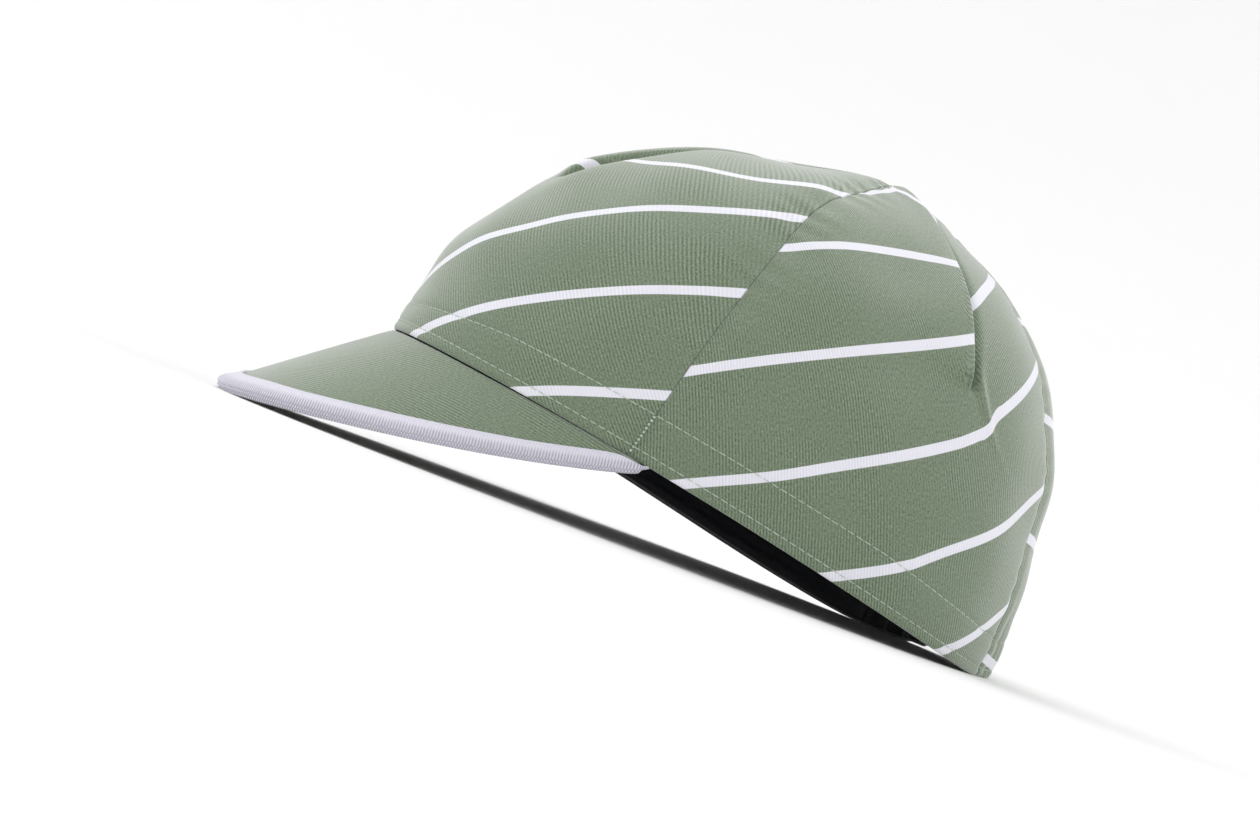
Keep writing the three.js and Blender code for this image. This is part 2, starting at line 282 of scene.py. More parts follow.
# Half panels from the front towards the back of the wearer's left side. The half of the front
# panel on the wearer's right reads from its side seam to the dart.
STRIPES = {
    "front_right": (
        Stripe(start=-0.19, quarter=-0.15, middle=-0.08, three_quarters=0.01, end=0.12),
        Stripe(start=0.05, quarter=0.12, middle=0.2, three_quarters=0.3, end=0.425),
        Stripe(start=0.26, quarter=0.34, middle=0.445, three_quarters=0.57, end=0.71),
    ),
    "front_left": (
        Stripe(start=0.452, quarter=0.491, middle=0.541, three_quarters=0.606, end=0.688),
        Stripe(start=0.12, quarter=0.243, middle=0.372, three_quarters=0.458, end=0.544),
        Stripe(start=-0.05, quarter=0.045, middle=0.145, three_quarters=0.243, end=0.333),
        Stripe(start=-0.182, quarter=-0.108, middle=-0.034, three_quarters=0.04, end=0.114),
    ),
    "side_fore": (
        Stripe(start=0.745, quarter=0.86, middle=0.875, three_quarters=0.86, end=0.84),
        Stripe(start=0.453, quarter=0.535, middle=0.598, three_quarters=0.641, end=0.668),
        Stripe(start=0.162, quarter=0.263, middle=0.355, three_quarters=0.436, end=0.506),
        Stripe(start=-0.067, quarter=0.024, middle=0.119, three_quarters=0.217, end=0.312),
        Stripe(start=-0.303, quarter=-0.204, middle=-0.104, three_quarters=-0.004, end=0.094),
    ),
    "side_aft": (
        Stripe(start=0.8, quarter=0.86, middle=0.9, three_quarters=0.92, end=0.93),
        Stripe(start=0.58, quarter=0.651, middle=0.702, three_quarters=0.74, end=0.765),
        Stripe(start=0.312, quarter=0.404, middle=0.479, three_quarters=0.541, end=0.59, drop=0.02),
        Stripe(start=0.094, quarter=0.169, middle=0.236, three_quarters=0.3, end=0.354),
        Stripe(start=-0.123, quarter=-0.051, middle=0.017, three_quarters=0.082, end=0.141),
    ),
    "back": (
        Stripe(start=0.87, quarter=0.868, middle=0.866, three_quarters=0.865, end=0.865),
        Stripe(start=0.672, quarter=0.668, middle=0.665, three_quarters=0.663, end=0.662),
        Stripe(start=0.474, quarter=0.466, middle=0.461, three_quarters=0.458, end=0.457),
        Stripe(start=0.25, quarter=0.242, middle=0.237, three_quarters=0.234, end=0.233),
        Stripe(start=0.035, quarter=0.027, middle=0.022, three_quarters=0.019, end=0.018),
    ),
}


def from_hex(value):
    """An sRGB colour written as a hex number, as linear red, green, blue and alpha."""
    channels = [((value >> shift) & 255) / 255 for shift in (16, 8, 0)]
    linear = [c / 12.92 if c <= 0.04045 else ((c + 0.055) / 1.055) ** 2.4 for c in channels]
    return (*linear, 1.0)


def colour_property(name, description, value):
    """A colour setting whose default is an sRGB hex number."""
    return bpy.props.FloatVectorProperty(
        name=name, description=description, subtype="COLOR", size=4, min=0, max=1,
        default=from_hex(value))


def length_property(name, description, value):
    """A length setting in metres."""
    return bpy.props.FloatProperty(
        name=name, description=description, unit="LENGTH", precision=5, default=value)


class CapClothSettings(bpy.types.PropertyGroup):
    """Sizes and colours of the crown's cloth."""
    wall: length_property("Wall", "Thickness of the folded cloth", 1.1 * MM)
    seam_depth: length_property("Seam depth", "How far a seam pulls the cloth in", 0.9 * MM)
    pucker: length_property("Pucker", "Height of the puckers beside a seam", 0.16 * MM)
    fold_lift: length_property("Fold lift", "How far a dart's fold stands proud", 1.5 * MM)
    dart_depth: length_property("Dart depth", "How deep the cloth lies behind a dart's fold", 1.9 * MM)
    ridge: length_property("Ridge", "Height of the ridge below a side dart", 1.0 * MM)
    softness: length_property("Softness", "Height of the slow waves in the cloth", 0.42 * MM)
    puff: length_property("Puff", "How far the cloth swells beside a dart's point", 0.45 * MM)
    gather: length_property("Gather", "Height of the gathers of the back hem", 1.1 * MM)
    gather_count: bpy.props.IntProperty(
        name="Gathers", description="Gathers across the back panel", default=13, min=1)
    row_depth: length_property("Row depth", "How far a row of stitches pulls the cloth in", 0.3 * MM)
    # The real ribs are 0.8 mm apart, and are drawn a little coarser so that a small picture holds them
    rib_pitch: length_property("Rib pitch", "Distance from one rib of the cloth to the next", 0.88 * MM)
    stripe_width: length_property("Stripe width", "Width of a printed stripe", 2.75 * MM)
    # Darker between the ribs: partly the yarn's own tone, partly painted shade
    groove_colour_with_painted_shade: colour_property("Groove", "Cloth between the ribs", 0x4D5E44)
    ridge_colour: colour_property("Rib", "Cloth on the ribs", 0x9AAA91)
    stripe_colour: colour_property("Stripe", "Printed stripe", 0xF4F3FD)
    lining_colour: colour_property("Wrong side", "Inside of the printed cloth", 0x8A8A8A)


class CapTrimSettings(bpy.types.PropertyGroup):
    """Sizes and colours of the peak, binding, bands and threads."""
    board: length_property("Board", "Thickness of the covered peak board", 1.6 * MM)
    binding_tape: length_property("Binding tape", "Thickness of the binding tape", 0.75 * MM)
    band_height: length_property("Band height", "Height of the bands inside the hem", 13 * MM)
    band_wall: length_property("Band wall", "Thickness of the sweatband", 1.0 * MM)
    elastic_wall: length_property("Elastic wall", "Thickness of the gathered elastic", 1.5 * MM)
    stitch_length: length_property("Stitch", "Length of one stitch", 2.2 * MM)
    stitch_gap: length_property("Stitch gap", "Gap between two stitches", 0.5 * MM)
    thread: length_property("Thread", "Thickness of the sewing thread", 0.29 * MM)
    binding_colour: colour_property("Binding", "Ribbed binding tape", 0xDFDDEA)
    # Painted light: grey rather than black, lightened to stand in for light that the inside of the crown
    # does not get
    band_colour_painted_lighter: colour_property("Band", "Black tape and elastic", 0x44454C)
    thread_colour: colour_property("Thread", "Sewing thread", 0xC8D4C2)
    overlock_colour: colour_property("Overlock", "Thread of the inside seams", 0xB8B8B8)


class CapStudioSettings(bpy.types.PropertyGroup):
    """Camera and floor of the studio."""
    azimuth: bpy.props.FloatProperty(
        name="Azimuth", description="Side that the camera looks from, 90 from the wearer's left",
        subtype="ANGLE", default=math.radians(74.139))
    elevation: bpy.props.FloatProperty(
        name="Elevation", description="Height of the camera as an angle", subtype="ANGLE",
        default=math.radians(0.083))
    roll: bpy.props.FloatProperty(
        name="Roll", description="Turn of the camera about its own line of sight",
        subtype="ANGLE", default=math.radians(20.883))
    distance: length_property("Distance", "From the camera to the point that it looks at", 1.3015)
    lens: bpy.props.FloatProperty(
        name="Lens", description="Focal length", unit="CAMERA", default=131.93)
    floor_colour: colour_property("Floor", "Painted floor and cove", 0xF3F3F3)


SETTINGS = {
    "cap_cloth": CapClothSettings,
    "cap_trim": CapTrimSettings,
    "cap_studio": CapStudioSettings,
}


def cloth():
    return bpy.context.scene.cap_cloth


def trim():
    return bpy.context.scene.cap_trim


def signed_power(value, exponent):
    """The size of value to a power, with value's own sign."""
    return np.sign(value) * np.abs(value) ** exponent


def through(values, share):
    """Catmull-Rom curve through evenly spaced values, for a share of the way from the second to the
    last but one. The two outer values only steer its ends."""
    values = np.asarray(values, float)
    place = np.clip(share, 0, 1) * (len(values) - 3)
    index = np.minimum(place.astype(int), len(values) - 4)
    step = place - index
    before, low, high, after = (values[index + offset] for offset in range(4))
    leaving, arriving = (high - before) / 2, (after - low) / 2
    return ((2 * low - 2 * high + leaving + arriving) * step**3
            + (3 * high - 3 * low - 2 * leaving - arriving) * step**2 + leaving * step + low)


def level_share(column, rise):
    """Curve through one column of the crown levels."""
    values = [getattr(level, column) for level in CROWN_LEVELS]
    return through([values[0], *values, values[-1]], rise)


def stripe_rise(stripe, share):
    """Rise of a stripe's centre line at a share of the way across its half panel: a curve through
    its five rises, less a drop that grows evenly up to the ridge and ends there."""
    knots = stripe[:5]
    curve = through([2 * knots[0] - knots[1], *knots, 2 * knots[4] - knots[3]], share)
    fallen = np.clip(share / DROP_FULL, 0, 1) * (1 - smooth_step(share, JUMP_START, JUMP_END))
    return curve - stripe.drop * fallen


def smooth_crown(turn, rise):
    """Crown before seams and folds: a squared ellipse of the head's reaches at each level, narrowed
    by the cosine of a quarter turn, raised by its sine, and moved forwards as it narrows."""
    quarter = math.pi / 2 * rise
    level = np.clip(rise, 0, 1)
    narrowing = np.cos(quarter)
    roundness = 2 / (HEAD_SQUARENESS + (2 - HEAD_SQUARENESS) * level)
    ahead = signed_power(np.cos(turn), roundness)
    aside = signed_power(np.sin(turn), roundness)
    lengthways = np.where(ahead > 0, HEAD_FRONT_REACH * level_share("front", level),
                          HEAD_BACK_REACH * level_share("back", level))
    sideways = HEAD_WIDTH / 2 * level_share("side", level)
    behind = np.maximum(0, -np.cos(turn))
    hem = (HEM_SIDE_RISE * np.sin(turn) ** 2 + HEM_BACK_RISE * behind**2
           + HEM_BACK_ARCH * behind**ARCH_SHARPNESS)
    return np.stack([
        sideways * narrowing * aside,
        -(CROWN_TOP_FORWARD * (1 - narrowing) + lengthways * narrowing * ahead),
        hem * (1 - level) ** 2 + CROWN_HEIGHT * np.sin(quarter),
    ], axis=-1)


def line_turn(line, rise):
    """Turn of a seam, dart or fold at a rise: a parabola in rise."""
    return np.radians(line.hem + line.lean * rise + line.bow * rise * rise)


def half_width(rise):
    """About half the crown's width at a rise, which turns an angle into a distance round it."""
    return HEAD_WIDTH / 2 * np.cos(math.pi / 2 * rise)


def distance_from(line, turn, rise, mirror=1):
    """Distance round the crown from a line, positive towards the back on the line's own side."""
    return (mirror * turn - line_turn(line, rise)) * half_width(rise)


def hump(distance, width):
    """A bell curve: the exponential of minus the square of distance over width."""
    return np.exp(-((distance / width) ** 2))


def smooth_step(value, low, high):
    """0 below low, 1 above high, and a smooth cubic between."""
    share = np.clip((value - low) / (high - low), 0, 1)
    return share * share * (3 - 2 * share)


def hem_height(rise):
    """Distance up the cloth from the hem, near enough for the rows of stitches."""
    return CROWN_HEIGHT * math.pi / 2 * rise


def upper_row_height(turn):
    """Height of the upper row of hem stitches, by straight lines between the table's turns."""
    return np.interp(np.degrees(np.abs(turn)), [row.turn for row in UPPER_ROW],
                     [row.height for row in UPPER_ROW])


def dart_relief(dart, turn, rise, mirror=1):
    """Section across a dart, times how far the dart is open at each rise: the fold in front rolls up
    out of the crease and eases away, and the cloth behind sinks to the crease over a width."""
    distance = distance_from(dart.line, turn, rise, mirror)
    fold = (1 - np.exp(-np.abs(distance / dart.roll) ** 1.6)) * hump(distance, FOLD_WIDTH)
    crease = cloth().dart_depth * hump(distance, np.where(distance < 0, dart.roll / 3, dart.width))
    opening = smooth_step(rise, dart.start - dart.below, dart.start + dart.above)
    opening *= 1 + dart.pocket * hump(rise - dart.start - dart.pocket_up, dart.pocket_reach)
    return (np.where(distance < 0, cloth().fold_lift * fold, 0) - crease) * opening


def soft_waves(points):
    """Slow waves of hanging cloth: a sum of sines of the place, each with its own direction,
    length and phase, drawn from a fixed seed."""
    draw = np.random.default_rng(WAVE_SEED)
    total = np.zeros(points.shape[:-1])
    for _ in range(SOFT_WAVES):
        direction = draw.normal(size=3)
        length = draw.uniform(SHORTEST_WAVE, LONGEST_WAVE)
        wave = direction / np.linalg.norm(direction) * 2 * math.pi / length
        total += np.sin(points @ wave + draw.uniform(0, 2 * math.pi))
    return total / math.sqrt(SOFT_WAVES / 2)


def gathers(turn, rise):
    """Gathers of the back hem: a cosine across the back panel that dies out upwards."""
    half = math.pi - line_turn(BACK_SEAM, 0)
    share = 0.5 - (np.mod(turn, 2 * math.pi) - math.pi) / (2 * half)
    inside = np.clip(share, 0, 1)
    uneven = inside + GATHER_DRIFT * np.sin(2 * math.pi * GATHER_DRIFTS * inside)
    wave = np.cos(2 * math.pi * cloth().gather_count * uneven) * np.sqrt(np.sin(math.pi * inside))
    return cloth().gather * wave * hump(hem_height(rise), GATHER_REACH)


def relief(turn, rise):
    """How far the cloth stands out of the smooth crown: waves, gathers, puckers, darts and the ridges
    below them, less the grooves at the seams and the top and the two stitched rows of the hem."""
    turn = np.arctan2(np.sin(turn), np.cos(turn))
    height = hem_height(rise)
    out = cloth().softness * soft_waves(smooth_crown(turn, rise)) * smooth_step(height, 0, CALM_HEM)
    out += gathers(turn, rise)
    groove = np.zeros_like(turn)
    puckers = np.sin(2 * math.pi * height / PUCKER_LENGTH
                     + PUCKER_SWAY * np.sin(2 * math.pi * height / PUCKER_DRIFT))
    near_top = smooth_step(rise, NEAR_TOP_START, NEAR_TOP_END)
    for mirror in (1, -1):
        for seam in (FRONT_SEAM, BACK_SEAM):
            distance = distance_from(seam, turn, rise, mirror)
            groove = np.maximum(groove, cloth().seam_depth * hump(distance, SEAM_WIDTH))
            out += cloth().pucker * puckers * hump(distance, PUCKER_WIDTH) * (1 - near_top)
        out += dart_relief(SIDE, turn, rise, mirror) * (1 - near_top)
        ridge = hump(distance_from(DART_RIDGE, turn, rise, mirror), RIDGE_WIDTH)
        out += cloth().ridge * ridge * hump(rise - RIDGE_MIDDLE, RIDGE_REACH)
    flattening = 1 - FRONT_FLATTENING * smooth_step(rise, FLATTENING_START, FLATTENING_END)
    out += dart_relief(FRONT, turn, rise) * flattening * (1 - near_top)
    beside = distance_from(FRONT.line, turn, rise) - PUFF_WIDTH
    out += cloth().puff * hump(beside, PUFF_WIDTH) * hump(rise - FRONT.start, PUFF_REACH)
    groove = np.maximum(groove, cloth().seam_depth * near_top)
    rows = hump(height - LOWER_ROW_HEIGHT, ROW_WIDTH) + hump(height - upper_row_height(turn), ROW_WIDTH)
    return out - groove - cloth().row_depth * rows


def crown(turn, rise, depth):
    """A point of the crown, a depth inside its outer face: the smooth crown moved along its own
    normal, which is the cross product of its two directions."""
    turn, rise = np.broadcast_arrays(np.asarray(turn, float), np.asarray(rise, float))
    along = smooth_crown(turn + PROBE, rise) - smooth_crown(turn - PROBE, rise)
    upwards = smooth_crown(turn, rise + PROBE) - smooth_crown(turn, rise - PROBE)
    outward = np.cross(along, upwards)
    outward /= np.linalg.norm(outward, axis=-1, keepdims=True)
    return smooth_crown(turn, rise) + outward * (relief(turn, rise) - depth)[..., None]


def stand(points):
    """Stands the cap on the table: a turn about X, a raise and a step back, with z never below 0."""
    x, y, z = np.moveaxis(points, -1, 0)
    back = y * math.cos(REST_TILT) + z * math.sin(REST_TILT) + REST_BACK
    up = z * math.cos(REST_TILT) - y * math.sin(REST_TILT) + REST_RAISE
    return np.stack([x, back, np.maximum(0, up)], axis=-1)


def build_mesh(name, points, faces, material_index=None, grain=None, mark=None):
    """A mesh object from arrays of points and four-cornered faces. grain is a place on the cloth in
    millimetres for each point. mark is the distance from the nearest stripe's middle on the printed
    cloth, and on the binding the way across the tape from its top edge (0) to its bottom edge (1)."""
    mesh = bpy.data.meshes.new(name)
    mesh.vertices.add(len(points))
    mesh.vertices.foreach_set("co", points.astype(np.float32).ravel())
    mesh.loops.add(faces.size)
    mesh.loops.foreach_set("vertex_index", faces.astype(np.int32).ravel())
    mesh.polygons.add(len(faces))
    mesh.polygons.foreach_set("loop_start", np.arange(0, faces.size, 4, dtype=np.int32))
    mesh.polygons.foreach_set("use_smooth", np.ones(len(faces), bool))
    if material_index is not None:
        mesh.polygons.foreach_set("material_index", material_index.astype(np.int32))
    if grain is not None:
        layer = mesh.uv_layers.new(name="grain")
        layer.data.foreach_set("uv", grain[faces.ravel()].astype(np.float32).ravel())
    if mark is not None:
        attribute = mesh.attributes.new("mark", "FLOAT", "POINT")
        attribute.data.foreach_set("value", mark.astype(np.float32))
    mesh.update(calc_edges=True)
    piece = bpy.data.objects.new(name, mesh)
    bpy.context.scene.collection.objects.link(piece)
    return piece


def wall_mesh(name, outer, inner, grain, mark=None):
    """A closed wall between two grids of points, with faces round all four edges. Its inner face has
    the second material and the rest has the first."""
    columns, rows = outer.shape[:2]
    count = columns * rows
    index = np.arange(count).reshape(columns, rows)
    front = np.stack([index[:-1, :-1], index[1:, :-1], index[1:, 1:], index[:-1, 1:]], -1).reshape(-1, 4)
    rim = np.concatenate([index[:-1, 0], index[-1, :-1], index[:0:-1, -1], index[0, :0:-1]])
    following = np.roll(rim, -1)
    edge = np.stack([rim, rim + count, following + count, following], -1)
    faces = np.concatenate([front, front[:, ::-1] + count, edge])
    points = np.concatenate([outer.reshape(-1, 3), inner.reshape(-1, 3)])
    material_index = np.zeros(len(faces))
    material_index[len(front):2 * len(front)] = 1
    both = np.concatenate([grain.reshape(-1, 2)] * 2)
    marks = None if mark is None else np.concatenate([mark.ravel()] * 2)
    return build_mesh(name, points, faces, material_index, both, marks)


def steps_between(points, axis):
    """Distances from each grid point to the next along one axis, summed from the first."""
    lengths = np.linalg.norm(np.diff(points, axis=axis), axis=-1)
    first = np.zeros_like(np.take(lengths, [0], axis=axis))
    return np.concatenate([first, np.cumsum(lengths, axis=axis)], axis=axis)


def surface_grain(points):
    """Places on the cloth along both ways of a grid, in millimetres."""
    return np.stack([steps_between(points, 0), steps_between(points, 1)], -1) / MM


def turned_grain(across, up, lie):
    """Places on the cloth in millimetres, turned by the lie of the cloth."""
    return np.stack([across * math.cos(lie) + up * math.sin(lie),
                     up * math.cos(lie) - across * math.sin(lie)], -1) / MM


def crowded(share, crowding=0.78):
    """Shares from 0 to 1 that crowd towards both ends: the share less a sine of it."""
    return share - crowding * np.sin(2 * math.pi * share) / (2 * math.pi)


def rounded(distance, radius):
    """Depth of a rounded edge at a distance from it: a quarter circle."""
    inside = radius - np.clip(distance, 0, radius)
    return radius - np.sqrt(np.maximum(0, radius**2 - inside**2))


def hem_roll(height):
    """Depth of the outer face where it rolls in to the hem's folded edge, at a height above it."""
    return rounded(height / 2, cloth().wall * 0.8)


class Panel(NamedTuple):
    """A crown panel: its two seams and the dart or middle line between them, each as a line and the
    side that it is on, the stripes of its two halves and how many of the uppermost it lacks, the lie
    of its cloth, and how many columns of faces each half has."""
    node: str
    low: tuple
    middle: tuple
    high: tuple
    stripes: tuple
    hidden_stripes: int
    lie: float
    half_columns: int


PANELS = (
    Panel(node="front_panel", low=(FRONT_SEAM, -1), middle=(FRONT_DART, 1), high=(FRONT_SEAM, 1),
          stripes=("front_right", "front_left"), hidden_stripes=0, lie=math.radians(50),
          half_columns=105),
    Panel(node="side_panel_left", low=(FRONT_SEAM, 1), middle=(SIDE_DART, 1), high=(BACK_SEAM, 1),
          stripes=("side_fore", "side_aft"), hidden_stripes=0, lie=math.radians(29),
          half_columns=80),
    Panel(node="side_panel_right", low=(BACK_SEAM, -1), middle=(SIDE_DART, -1),
          high=(FRONT_SEAM, -1), stripes=("side_aft", "side_fore"), hidden_stripes=1,
          lie=math.radians(-29), half_columns=80),
    Panel(node="back_panel", low=(BACK_SEAM, 1), middle=(BACK_MIDDLE, 1), high=(BACK_SEAM, -1),
          stripes=("back", "back"), hidden_stripes=0, lie=0.0, half_columns=60),
)


def panel_turns(panel, rises):
    """Turns of a panel's columns at each rise: crowded shares between its low seam, its middle line
    and its high seam."""
    def line_at(entry, behind):
        line, side = entry
        turns = side * line_turn(line, rises)
        return turns + 2 * math.pi if behind and side < 0 else turns

    wraps = panel.node == "back_panel"
    low, middle, high = (line_at(entry, wraps) for entry in (panel.low, panel.middle, panel.high))
    share = crowded(np.linspace(0, 1, panel.half_columns + 1))[:, None]
    first = low + (middle - low) * share
    second = middle + (high - middle) * share[1:]
    return np.concatenate([first, second])


def stripe_distances(panel, rises, points):
    """Distance from each point to the middle of the nearest stripe: the difference between its rise
    and the stripe's own rise there, over the steepness of that difference."""
    across = steps_between(points, 0)
    up = steps_between(points, 1)
    nearest = np.full(rises.shape, NO_STRIPE)
    wobble = PRINT_WOBBLE * soft_waves(points)
    half = panel.half_columns
    for part, chosen in enumerate((slice(0, half + 1), slice(half, None))):
        run = across[chosen] - across[chosen][:1]
        share = run / np.maximum(run[-1:], 1e-6)
        mirrored = (panel.node == "side_panel_right") or (panel.node == "back_panel" and part == 1)
        share = 1 - share if mirrored else share
        for stripe in STRIPES[panel.stripes[part]][panel.hidden_stripes:]:
            apart = (rises + wobble)[chosen] - stripe_rise(stripe, share)
            over_up = np.gradient(apart, axis=1) / np.gradient(up[chosen], axis=1)
            over_across = np.gradient(apart, axis=0) / np.gradient(run, axis=0)
            slope = np.sqrt(over_up**2 + over_across**2)
            nearest[chosen] = np.minimum(nearest[chosen], np.abs(apart) / slope)
    return nearest


def crown_rises():
    """Rises of a panel's rows: close together round the hem's folded edge, half a millimetre apart
    through its stitched rows, and then wider."""
    height = hem_height(1.0)
    edge = cloth().wall * 1.6 * (1 - np.cos(np.linspace(0, math.pi / 2, 10)))
    stitched = np.linspace(edge[-1], STITCHED_HEM, 34)[1:]
    open_cloth = np.linspace(STITCHED_HEM, TOP_RISE * height, 146)[1:]
    return np.concatenate([edge, stitched, open_cloth]) / height


def add_node(tree, kind, settings=None, inputs=None):
    """Adds a node with its settings. An input is a value, or a socket to link from."""
    node = tree.nodes.new(kind)
    for name, value in (settings or {}).items():
        setattr(node, name, value)
    for name, value in (inputs or {}).items():
        if isinstance(value, bpy.types.NodeSocket):
            tree.links.new(value, node.inputs[name])
        else:
            node.inputs[name].default_value = value
    return node


def new_material(name, roughness, sheen, sheen_roughness=0.5):
    """A material with its surface shader, ready for a colour and a bump."""
    material = bpy.data.materials.get(name)
    if material:
        return material, None, None
    material = bpy.data.materials.new(name)
    material.use_nodes = True
    tree = material.node_tree
    shader = tree.nodes["Principled BSDF"]
    shader.inputs["Roughness"].default_value = roughness
    shader.inputs["Sheen Weight"].default_value = sheen
    shader.inputs["Sheen Roughness"].default_value = sheen_roughness
    return material, tree, shader


def rib_wave(tree, place, pitch):
    """A sine of a place in millimetres, with one wave to a pitch in metres."""
    phase = add_node(tree, "ShaderNodeMath", {"operation": "MULTIPLY"},
                     {0: place, 1: 2 * math.pi * MM / pitch}).outputs[0]
    return add_node(tree, "ShaderNodeMath", {"operation": "SINE"}, {0: phase}).outputs[0]


def finish_cloth(tree, shader, colour, height, strength, depth=0.1 * MM):
    """Gives a cloth its colour and raises its threads where height is more."""
    tree.links.new(colour, shader.inputs["Base Color"])
    bump = add_node(tree, "ShaderNodeBump", inputs={
        "Strength": strength, "Distance": depth, "Height": height}).outputs[0]
    tree.links.new(bump, shader.inputs["Normal"])


def printed_cloth():
    """Fine ribbed polyester-cotton cloth, sage with printed white stripes: soft ribs that run
    across the stripes, a heathered yarn and a little fuzz that pales at the edges. The troughs
    between the ribs are darker, partly from the yarn's tone and partly as painted shade."""
    material, tree, shader = new_material("ribbed_polycotton_sage_print", 0.9, 0.8)
    if tree is None:
        return material
    settings = cloth()
    grain = add_node(tree, "ShaderNodeUVMap", {"uv_map": "grain"}).outputs["UV"]
    wander = add_node(tree, "ShaderNodeTexNoise", {"noise_dimensions": "2D"},
                      {"Vector": grain, "Scale": 0.06, "Detail": 2.0})
    place = add_node(tree, "ShaderNodeSeparateXYZ", inputs={0: grain}).outputs["X"]
    bent = add_node(tree, "ShaderNodeMath", {"operation": "MULTIPLY_ADD"},
                    {0: wander.outputs["Fac"], 1: 0.3, 2: place}).outputs[0]
    wave = rib_wave(tree, bent, settings.rib_pitch)
    # The ribs lie flatter in patches about 20 mm wide
    patches = add_node(tree, "ShaderNodeTexNoise", {"noise_dimensions": "2D"},
                       {"Vector": grain, "Scale": 0.05, "Detail": 1.0})
    crispness = add_node(tree, "ShaderNodeMapRange", inputs={
        "Value": patches.outputs["Fac"], "From Min": 0.38, "From Max": 0.55, "To Min": 0.15,
        "To Max": 0.48}).outputs[0]
    rib = add_node(tree, "ShaderNodeMath", {"operation": "MULTIPLY_ADD"},
                   {0: wave, 1: crispness, 2: 0.5}).outputs[0]
    # Yarn slubs about 0.4 mm across and 0.8 mm long, along the ribs
    stretched = add_node(tree, "ShaderNodeMapping", inputs={"Vector": grain, "Scale": (2.4, 1.3, 1.0)})
    slubs = add_node(tree, "ShaderNodeTexNoise", {"noise_dimensions": "2D"},
                     {"Vector": stretched.outputs[0], "Scale": 1.0, "Detail": 3.0, "Roughness": 0.7})
    light = add_node(tree, "ShaderNodeMath", {"operation": "MULTIPLY_ADD"},
                     {0: slubs.outputs["Fac"], 1: 2.8, 2: -1.13}).outputs[0]
    share = add_node(tree, "ShaderNodeMix", {"data_type": "FLOAT"},
                     {0: 0.5, 2: rib, 3: light}).outputs[0]
    # The troughs between the ribs take the darker groove colour: partly yarn tone, partly painted shade
    sage = add_node(tree, "ShaderNodeMix", {"data_type": "RGBA"},
                    {0: share, 6: settings.groove_colour_with_painted_shade, 7: settings.ridge_colour}).outputs[2]
    # Painted shade on the white print: darker in the rib troughs
    painted_rib_shade = add_node(tree, "ShaderNodeMapRange", inputs={
        "Value": rib, "From Min": 0.0, "From Max": 1.0, "To Min": 0.86, "To Max": 1.0}).outputs[0]
    white = add_node(tree, "ShaderNodeMix", {"data_type": "RGBA", "blend_type": "MULTIPLY"},
                     {0: 1.0, 6: settings.stripe_colour, 7: painted_rib_shade}).outputs[2]
    nearest = add_node(tree, "ShaderNodeAttribute", {"attribute_name": "mark"}).outputs["Fac"]
    ragged = add_node(tree, "ShaderNodeMath", {"operation": "MULTIPLY_ADD"},
                      {0: slubs.outputs["Fac"], 1: 0.2 * MM, 2: nearest}).outputs[0]
    half = settings.stripe_width / 2
    printed = add_node(tree, "ShaderNodeMapRange", {"interpolation_type": "SMOOTHSTEP"}, {
        "Value": ragged, "From Min": half + 0.22 * MM, "From Max": half + 0.02 * MM}).outputs[0]
    colour = add_node(tree, "ShaderNodeMix", {"data_type": "RGBA"},
                      {0: printed, 6: sage, 7: white}).outputs[2]
    height = add_node(tree, "ShaderNodeMath", {"operation": "MULTIPLY_ADD"},
                      {0: slubs.outputs["Fac"], 1: 0.8, 2: rib}).outputs[0]
    finish_cloth(tree, shader, colour, height, strength=0.7)
    return material


def woven_material(name, colour, dark_share, pitch, roughness, sheen, lean=0.0):
    """A plain-woven cloth: threads of one pitch both ways, each pale on its back and dark between,
    with uneven yarn. lean turns the weave on the piece."""
    material, tree, shader = new_material(name, roughness, sheen)
    if tree is None:
        return material
    grain = add_node(tree, "ShaderNodeUVMap", {"uv_map": "grain"}).outputs["UV"]
    turned = add_node(tree, "ShaderNodeMapping",
                      inputs={"Vector": grain, "Rotation": (0.0, 0.0, lean)}).outputs[0]
    axes = add_node(tree, "ShaderNodeSeparateXYZ", inputs={0: turned})
    warp, weft = (rib_wave(tree, axes.outputs[axis], pitch) for axis in ("X", "Y"))
    crossing = add_node(tree, "ShaderNodeMath", {"operation": "MULTIPLY"},
                        {0: warp, 1: weft}).outputs[0]
    yarn = add_node(tree, "ShaderNodeTexNoise", {"noise_dimensions": "2D"},
                    {"Vector": grain, "Scale": 0.9, "Detail": 4.0, "Roughness": 0.65})
    share = add_node(tree, "ShaderNodeMath", {"operation": "MULTIPLY_ADD"},
                     {0: crossing, 1: 0.25, 2: yarn.outputs["Fac"]}).outputs[0]
    dark = tuple(c * dark_share for c in colour[:3]) + (1.0,)
    mixed = add_node(tree, "ShaderNodeMix", {"data_type": "RGBA"},
                     {0: share, 6: dark, 7: tuple(colour)}).outputs[2]
    finish_cloth(tree, shader, mixed, share, strength=0.6)
    return material


def lining():
    """Wrong side of the printed cloth: unprinted grey polyester-cotton, dull and plain-woven."""
    return woven_material("polycotton_wrong_side_grey", cloth().lining_colour, 0.45, 0.7 * MM, 0.95,
                          0.2, math.radians(45))


def sweatband_tape():
    """Black woven polyester tape, its colour painted lighter grey to stand in for light that the inside
    of the crown does not get: close threads with a faint sheen.
    """
    return woven_material("woven_polyester_tape_black", trim().band_colour_painted_lighter, 0.4, 0.8 * MM, 0.8, 0.25)


def elastic_webbing():
    """Black knitted elastic, its colour painted lighter grey to stand in for light that the inside of
    the crown does not get: cords along the band, drawn together between the gathers.
    """
    return woven_material("knitted_elastic_black", trim().band_colour_painted_lighter, 0.35, 1.1 * MM, 0.75, 0.2)


